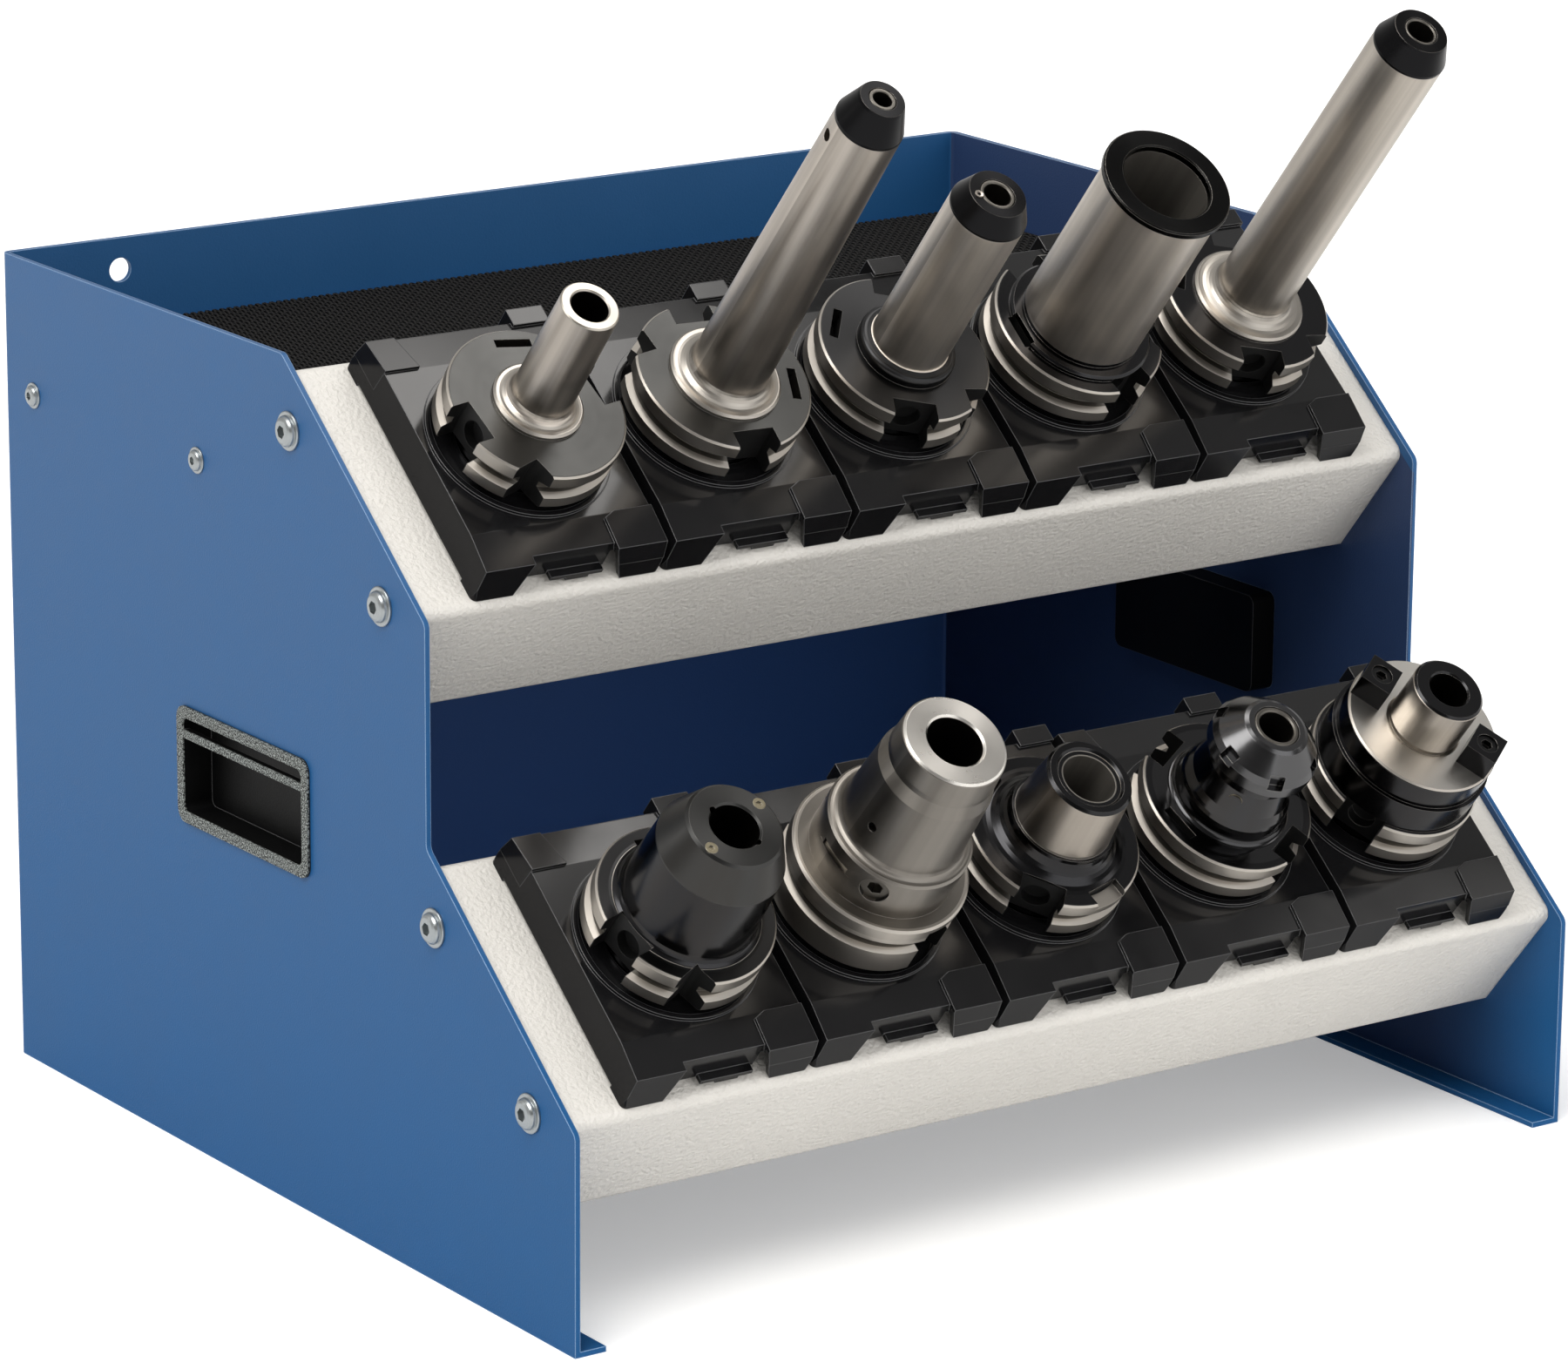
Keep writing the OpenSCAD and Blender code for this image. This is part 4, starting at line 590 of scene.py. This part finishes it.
# Mask of the painted shade on the cut walls, with both drive slots where slot gives their turn in degrees and upper
# end in mm
def cutShadeMask(tree, x, y, z, radius, around, normal, slot):
    across = vectorNode(tree, "DOT_PRODUCT", vectorNode(tree, "NORMALIZE", around), normal)
    wall = mathNode(tree, "GREATER_THAN", mathNode(tree, "ABSOLUTE", across), cuts["facing"])
    if slot is not None:
        turn, top = math.radians(slot[0]), slot[1] / mm
        aside = mathNode(tree, "ADD", mathNode(tree, "MULTIPLY", x, -math.sin(turn)),
                         mathNode(tree, "MULTIPLY", y, math.cos(turn)))
        near = mathNode(tree, "LESS_THAN", mathNode(tree, "ABSOLUTE", aside), cuts["slotHalfWidth"] / mm)
        inFlange = mathNode(tree, "MULTIPLY", mathNode(tree, "LESS_THAN", z, top),
                            mathNode(tree, "GREATER_THAN", z, cuts["slotLow"] / mm))
        wall = mathNode(tree, "MAXIMUM", wall, mathNode(tree, "MULTIPLY", near, inFlange))
    return mathNode(tree, "MULTIPLY", wall, mathNode(tree, "GREATER_THAN", radius, cuts["radius"] / mm))


# base is a finish, and each zone is (finish, inner radius, outer radius, low, high) in mm from the gauge line.
def turnedMaterial(name, row, index, base, zones, edgeRadius=0.0002, slot=None):
    material, tree, shader, coord = newMaterial(name)
    shifted = tree.nodes.new("ShaderNodeMapping")
    shifted.inputs["Location"].default_value = tuple(-gaugePoint(row, index))
    tree.links.new(coord, shifted.inputs["Vector"])
    upright = tree.nodes.new("ShaderNodeMapping")
    upright.inputs["Rotation"].default_value = (-tiltAngle, 0.0, 0.0)
    tree.links.new(shifted.outputs[0], upright.inputs["Vector"])
    x, y, z = splitNode(tree, upright.outputs[0])
    squares = mathNode(tree, "ADD", mathNode(tree, "MULTIPLY", x, x), mathNode(tree, "MULTIPLY", y, y))
    radius = mathNode(tree, "SQRT", squares)
    around = vectorNode(tree, "CROSS_PRODUCT", axisUp, shifted.outputs[0])
    normal, facing = facingUp(tree)
    rings = useGroup(tree, "turned", Radius=radius, Height=z, Facing=facing)
    edge = useGroup(tree, "edge", Radius=edgeRadius)
    colour, rough, metal, depth, edgeWearAndHighlight = finishes[base]
    for finish, inner, outer, low, high in zones:
        mask = useGroup(tree, "zone", Radius=radius, Height=z, Inner=inner / mm, Outer=outer / mm,
                        Low=low / mm, High=high / mm)[0]
        zoneColour, *zoneValues = finishes[finish]
        colour = mixColour(tree, mask, colour, zoneColour)
        rough, metal, depth, edgeWearAndHighlight = (mixValue(tree, mask, old, new)
                                     for old, new in zip((rough, metal, depth, edgeWearAndHighlight), zoneValues))
    if zones:
        # Painted reflection bands along the nose
        colour = addReflectionStreaks(tree, colour, x, y, z, facing, index * reflectionStreaks["seedStep"] + len(row))
        # Painted shade: cut walls and drive slots turn near-black and lose their metal
        inCutShade = cutShadeMask(tree, x, y, z, radius, around, normal, slot)
        colour = mixColour(tree, inCutShade, colour, finishes["dark"][0])
        metal = mixValue(tree, inCutShade, metal, 0.0)
    edgeWearAndHighlightShare = mathNode(tree, "MULTIPLY", edge["Edge"], edgeWearAndHighlight)
    cloud = noiseNode(tree, coord, turned["cloudScale"], 3.0, 0.6)
    spread = roughAbout(tree, cloud, turned["cloudRough"], 0.0)
    spread = mathNode(tree, "MULTIPLY_ADD", rings["Bands"], turned["bandRough"], spread)
    height = mathNode(tree, "MULTIPLY", rings["Marks"], depth)
    feed(tree, shader["Base Color"], mixColour(tree, edgeWearAndHighlightShare, colour, turned["edgeWearAndHighlight"]))
    feed(tree, shader["Roughness"], mathNode(tree, "ADD", spread, rough))
    feed(tree, shader["Metallic"], metal)
    feed(tree, shader["Anisotropic"], turned["sheen"])
    feed(tree, shader["Tangent"], around)
    feed(tree, shader["Normal"], bumpNode(tree, height, turned["markDepth"], edge["Normal"]))
    return material


# Bands shared by the flanges, in mm: painted shade in black just under the flange, V-groove, top face, and slot floors
# painted dark as painted shade
shadeUnderFlange = ("black", 0, 40, -4, 3.3)


def grooveZone(middle):
    return ("groove", 26, 29.6, middle - 3.2, middle + 3.2)


def flangeZones(face):
    return [shadeUnderFlange, grooveZone(11.1), (face, 9, 31.4, 18.95, 19.25), ("dark", 0, 26.2, 2.1, 18.8)]


# Zones of each holder, the turn of its drive slots in degrees, and their upper end in mm
holders = {
    "upper_holder_1": {"slot": (-172, 18.95), "zones": flangeZones("satinGrey") + [
        ("polished", 0, 17, 19.2, 22), ("tube", 0, 15, 22, 68.4), ("face", 6.8, 11, 68.4, 71),
        ("bore", 0, 6.7, 20, 68.9)]},
    "upper_holder_2": {"slot": (88, 18.95), "zones": flangeZones("satinGrey") + [
        ("polished", 0, 21, 19.3, 25), ("tube", 0, 16, 25, 150)]},
    "upper_holder_3": {"slot": (-110, 18.95), "zones": flangeZones("blackSatin") + [
        ("blackSatin", 14.2, 24, 18.9, 27), ("tubePaintedLight", 0, 14.4, 20, 93)]},
    "upper_holder_4": {"slot": (-75, 18.95), "zones": flangeZones("black") + [
        ("black", 19.6, 28, 18.9, 24), ("tubePaintedLight", 16.3, 22.4, 22.6, 93), ("openBore", 0, 16.3, 15, 93)]},
    "upper_holder_5": {"slot": (-108, 18.95), "zones": flangeZones("black") + [
        ("polished", 0, 22, 19.3, 25), ("tubePaintedBright", 0, 16, 25, 153)]},
    "lower_holder_1": {"slot": (-165, 18.95), "zones": flangeZones("blackSatin") + [
        ("black", 0, 31, 19.3, 49.2), ("coneSatin", 0, 24, 49.2, 63), ("bore", 0, 8.7, 10, 61.4)]},
    "lower_holder_2": {"slot": (-69, 22.8), "zones": [shadeUnderFlange, grooveZone(16.4),
        ("warm", 0, 30, 22, 89.4), ("dullFace", 10, 20, 88.9, 91), ("bore", 0, 9.95, 30, 88.8)]},
    "lower_holder_3": {"slot": (-128, 18.95), "zones": flangeZones("black") + [
        ("tubePaintedShade", 0, 18.3, 27.4, 48.8), ("black", 17.85, 31, 18.9, 28), ("black", 11.6, 16, 48.75, 51)]},
    "lower_holder_4": {"slot": (-60, 18.95), "zones": flangeZones("black") + [("hubGloss", 0, 28.6, 19.0, 60)]},
    "lower_holder_5": {"slot": (-145, 18.95), "zones": [shadeUnderFlange, grooveZone(11.1),
        ("black", 27.9, 33, 18.9, 40.6), ("tubePaintedShade", 0, 13.6, 41.3, 61.2), ("dullFace", 13.7, 27.9, 40.2, 41.6),
        ("black", 7.2, 13.6, 61.2, 63), ("bore", 0, 7.25, 30, 61.4)]},
}
for row in rowNames:
    for index in places:
        holderName = row + "_holder_" + str(index)
        holder = holders[holderName]
        dress([holderName], turnedMaterial(holderName + "_steel", row, index, "ground", holder["zones"],
                                           slot=holder["slot"]))
        studName = row + "_stud_" + str(index)
        dress([studName], turnedMaterial(studName + "_steel", row, index, "ground", []))
print("stage: holders and studs")

# Smaller turned pieces with a finish of their own; their names end in u or l for the row, and the place in it
smallPieces = {
    "nose_nut_u2": "nutBlack", "nose_nut_u3": "nutBlack", "nose_nut_u5": "nutBlack",
    "nose_collet_u2": "groove", "nose_collet_u3": "groove", "nose_collet_u5": "groove",
    "end_ring_u4": "ringBlack", "face_screws_l1": "brass", "clamp_screw_l2": "groove",
    "bore_sleeve_l3": "openBore", "collet_nut_l4": "nutGloss", "collet_l4": "groove",
    "drive_keys_l5": "black", "key_screws_l5": "blackSatin",
}
smallZones = {"bore_sleeve_l3": [("black", 10.1, 20, -80, 100)]}
smallEdge = 0.0003
for pieceName, finish in smallPieces.items():
    row = "upper" if pieceName[-2] == "u" else "lower"
    dress([pieceName], turnedMaterial(pieceName + "_finish", row, int(pieceName[-1]), finish,
                                      smallZones.get(pieceName, []), smallEdge))
print("stage: small pieces")

# Small screws that the frame leaves out: place from the gauge line in mm, and whether they face along the axis
spareScrews = {
    "noseScrew_u3": {"row": "upper", "index": 3, "radius": 7.4, "turn": 173.0, "height": 100.55, "along": True,
                     "head": 1.5, "deep": 1.2, "hex": 0.75, "finish": "tube"},
    "neckScrew_l4": {"row": "lower", "index": 4, "radius": 16.0, "turn": -137.0, "height": 35.1, "along": False,
                     "head": 2.6, "deep": 1.6, "hex": 1.2, "finish": "brass"},
}
screwShape = {"sides": 32, "rim": 0.22, "dish": 0.15, "bevel": 0.08, "smooth": 35}


# Screw with a rounded rim and a hex socket, turned to its place on a holder
def addScrew(name, c):
    bpy.ops.object.select_all(action="DESELECT")
    head, deep = c["head"] / mm, c["deep"] / mm
    bpy.ops.mesh.primitive_cylinder_add(vertices=screwShape["sides"], radius=head, depth=deep, location=(0, 0, 0))
    screw = bpy.context.object
    screw.name = name
    bpy.ops.object.mode_set(mode="EDIT")
    bpy.ops.mesh.select_all(action="DESELECT")
    mesh = bmesh.from_edit_mesh(screw.data)
    for face in mesh.faces:
        if face.normal.z > 0.9:
            face.select = True
    bmesh.update_edit_mesh(screw.data)
    bpy.ops.mesh.inset(thickness=head * screwShape["rim"])
    bpy.ops.transform.translate(value=(0, 0, -deep * screwShape["dish"]))
    bpy.ops.object.mode_set(mode="OBJECT")
    bpy.ops.mesh.primitive_cylinder_add(vertices=6, radius=c["hex"] / mm, depth=deep, location=(0, 0, deep * 0.5))
    cutter = bpy.context.object
    bevel = screw.modifiers.new("rim", "BEVEL")
    bevel.width, bevel.segments = head * screwShape["bevel"], 2
    socket = screw.modifiers.new("socket", "BOOLEAN")
    socket.operation, socket.object = "DIFFERENCE", cutter
    bpy.context.view_layer.objects.active = screw
    for modifier in ("rim", "socket"):
        bpy.ops.object.modifier_apply(modifier=modifier)
    bpy.data.objects.remove(cutter, do_unlink=True)
    bpy.ops.object.select_all(action="DESELECT")
    screw.select_set(True)
    bpy.ops.object.shade_smooth_by_angle(angle=math.radians(screwShape["smooth"]))
    radial = radialAt(c["turn"])
    z, x = (axisUp, radial) if c["along"] else (radial, axisUp)
    origin = gaugePoint(c["row"], c["index"]) + axisUp * c["height"] / mm + radial * c["radius"] / mm
    screw.data.transform(placeMatrix(x, z.cross(x), z, origin))
    screw.data.materials.append(turnedMaterial(name + "_finish", c["row"], c["index"], c["finish"], []))
    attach(screw, c["row"] + "_tool_" + str(c["index"]))


for screwName, screwSettings in spareScrews.items():
    addScrew(screwName, screwSettings)
print("stage: spare screws")

# Plug over the slit of the second lower holder's flange, which runs on into its hub, in mm and degrees.
# Each step is (radius, low, high).
plug = {"row": "lower", "index": 2, "turn": -174.0, "halfAngle": 20.0, "inside": 21.5, "sides": 360, "smooth": 30,
        "steps": [(28.2, 17.0, 25.87), (26.07, 25.0, 34.8)], "edge": 0.00001}


# One stepped sector of a ring, cut out of full discs
def addPlug(c):
    half = math.radians(c["halfAngle"])
    sector = (((0, 0, 0), (math.sin(half), math.cos(half), 0)),
              ((0, 0, 0), (math.sin(half), -math.cos(half), 0)),
              ((c["inside"] / mm, 0, 0), (1, 0, 0)))
    parts = []
    for radius, low, high in c["steps"]:
        bpy.ops.object.select_all(action="DESELECT")
        bpy.ops.mesh.primitive_cylinder_add(vertices=c["sides"], radius=radius / mm, depth=(high - low) / mm,
                                            location=(0, 0, (high + low) / (2 * mm)))
        parts.append(bpy.context.object)
        bpy.ops.object.transform_apply(location=True, rotation=True, scale=True)
        bpy.ops.object.mode_set(mode="EDIT")
        for place, normal in sector:
            bpy.ops.mesh.select_all(action="SELECT")
            bpy.ops.mesh.bisect(plane_co=place, plane_no=normal, use_fill=True, clear_inner=True)
        bpy.ops.object.mode_set(mode="OBJECT")
    bpy.ops.object.select_all(action="DESELECT")
    for part in parts:
        part.select_set(True)
    bpy.context.view_layer.objects.active = parts[0]
    bpy.ops.object.join()
    piece = bpy.context.object
    piece.name = "hubPlug_l2"
    bpy.ops.object.shade_smooth_by_angle(angle=math.radians(c["smooth"]))
    radial = radialAt(c["turn"])
    piece.data.transform(placeMatrix(radial, axisUp.cross(radial), axisUp, gaugePoint(c["row"], c["index"])))
    zones = holders["lower_holder_2"]["zones"]
    piece.data.materials.append(turnedMaterial("hubPlug_steel", c["row"], c["index"], "ground", zones, c["edge"]))
    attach(piece, "lower_tool_2")


addPlug(plug)
print("stage: hub plug")
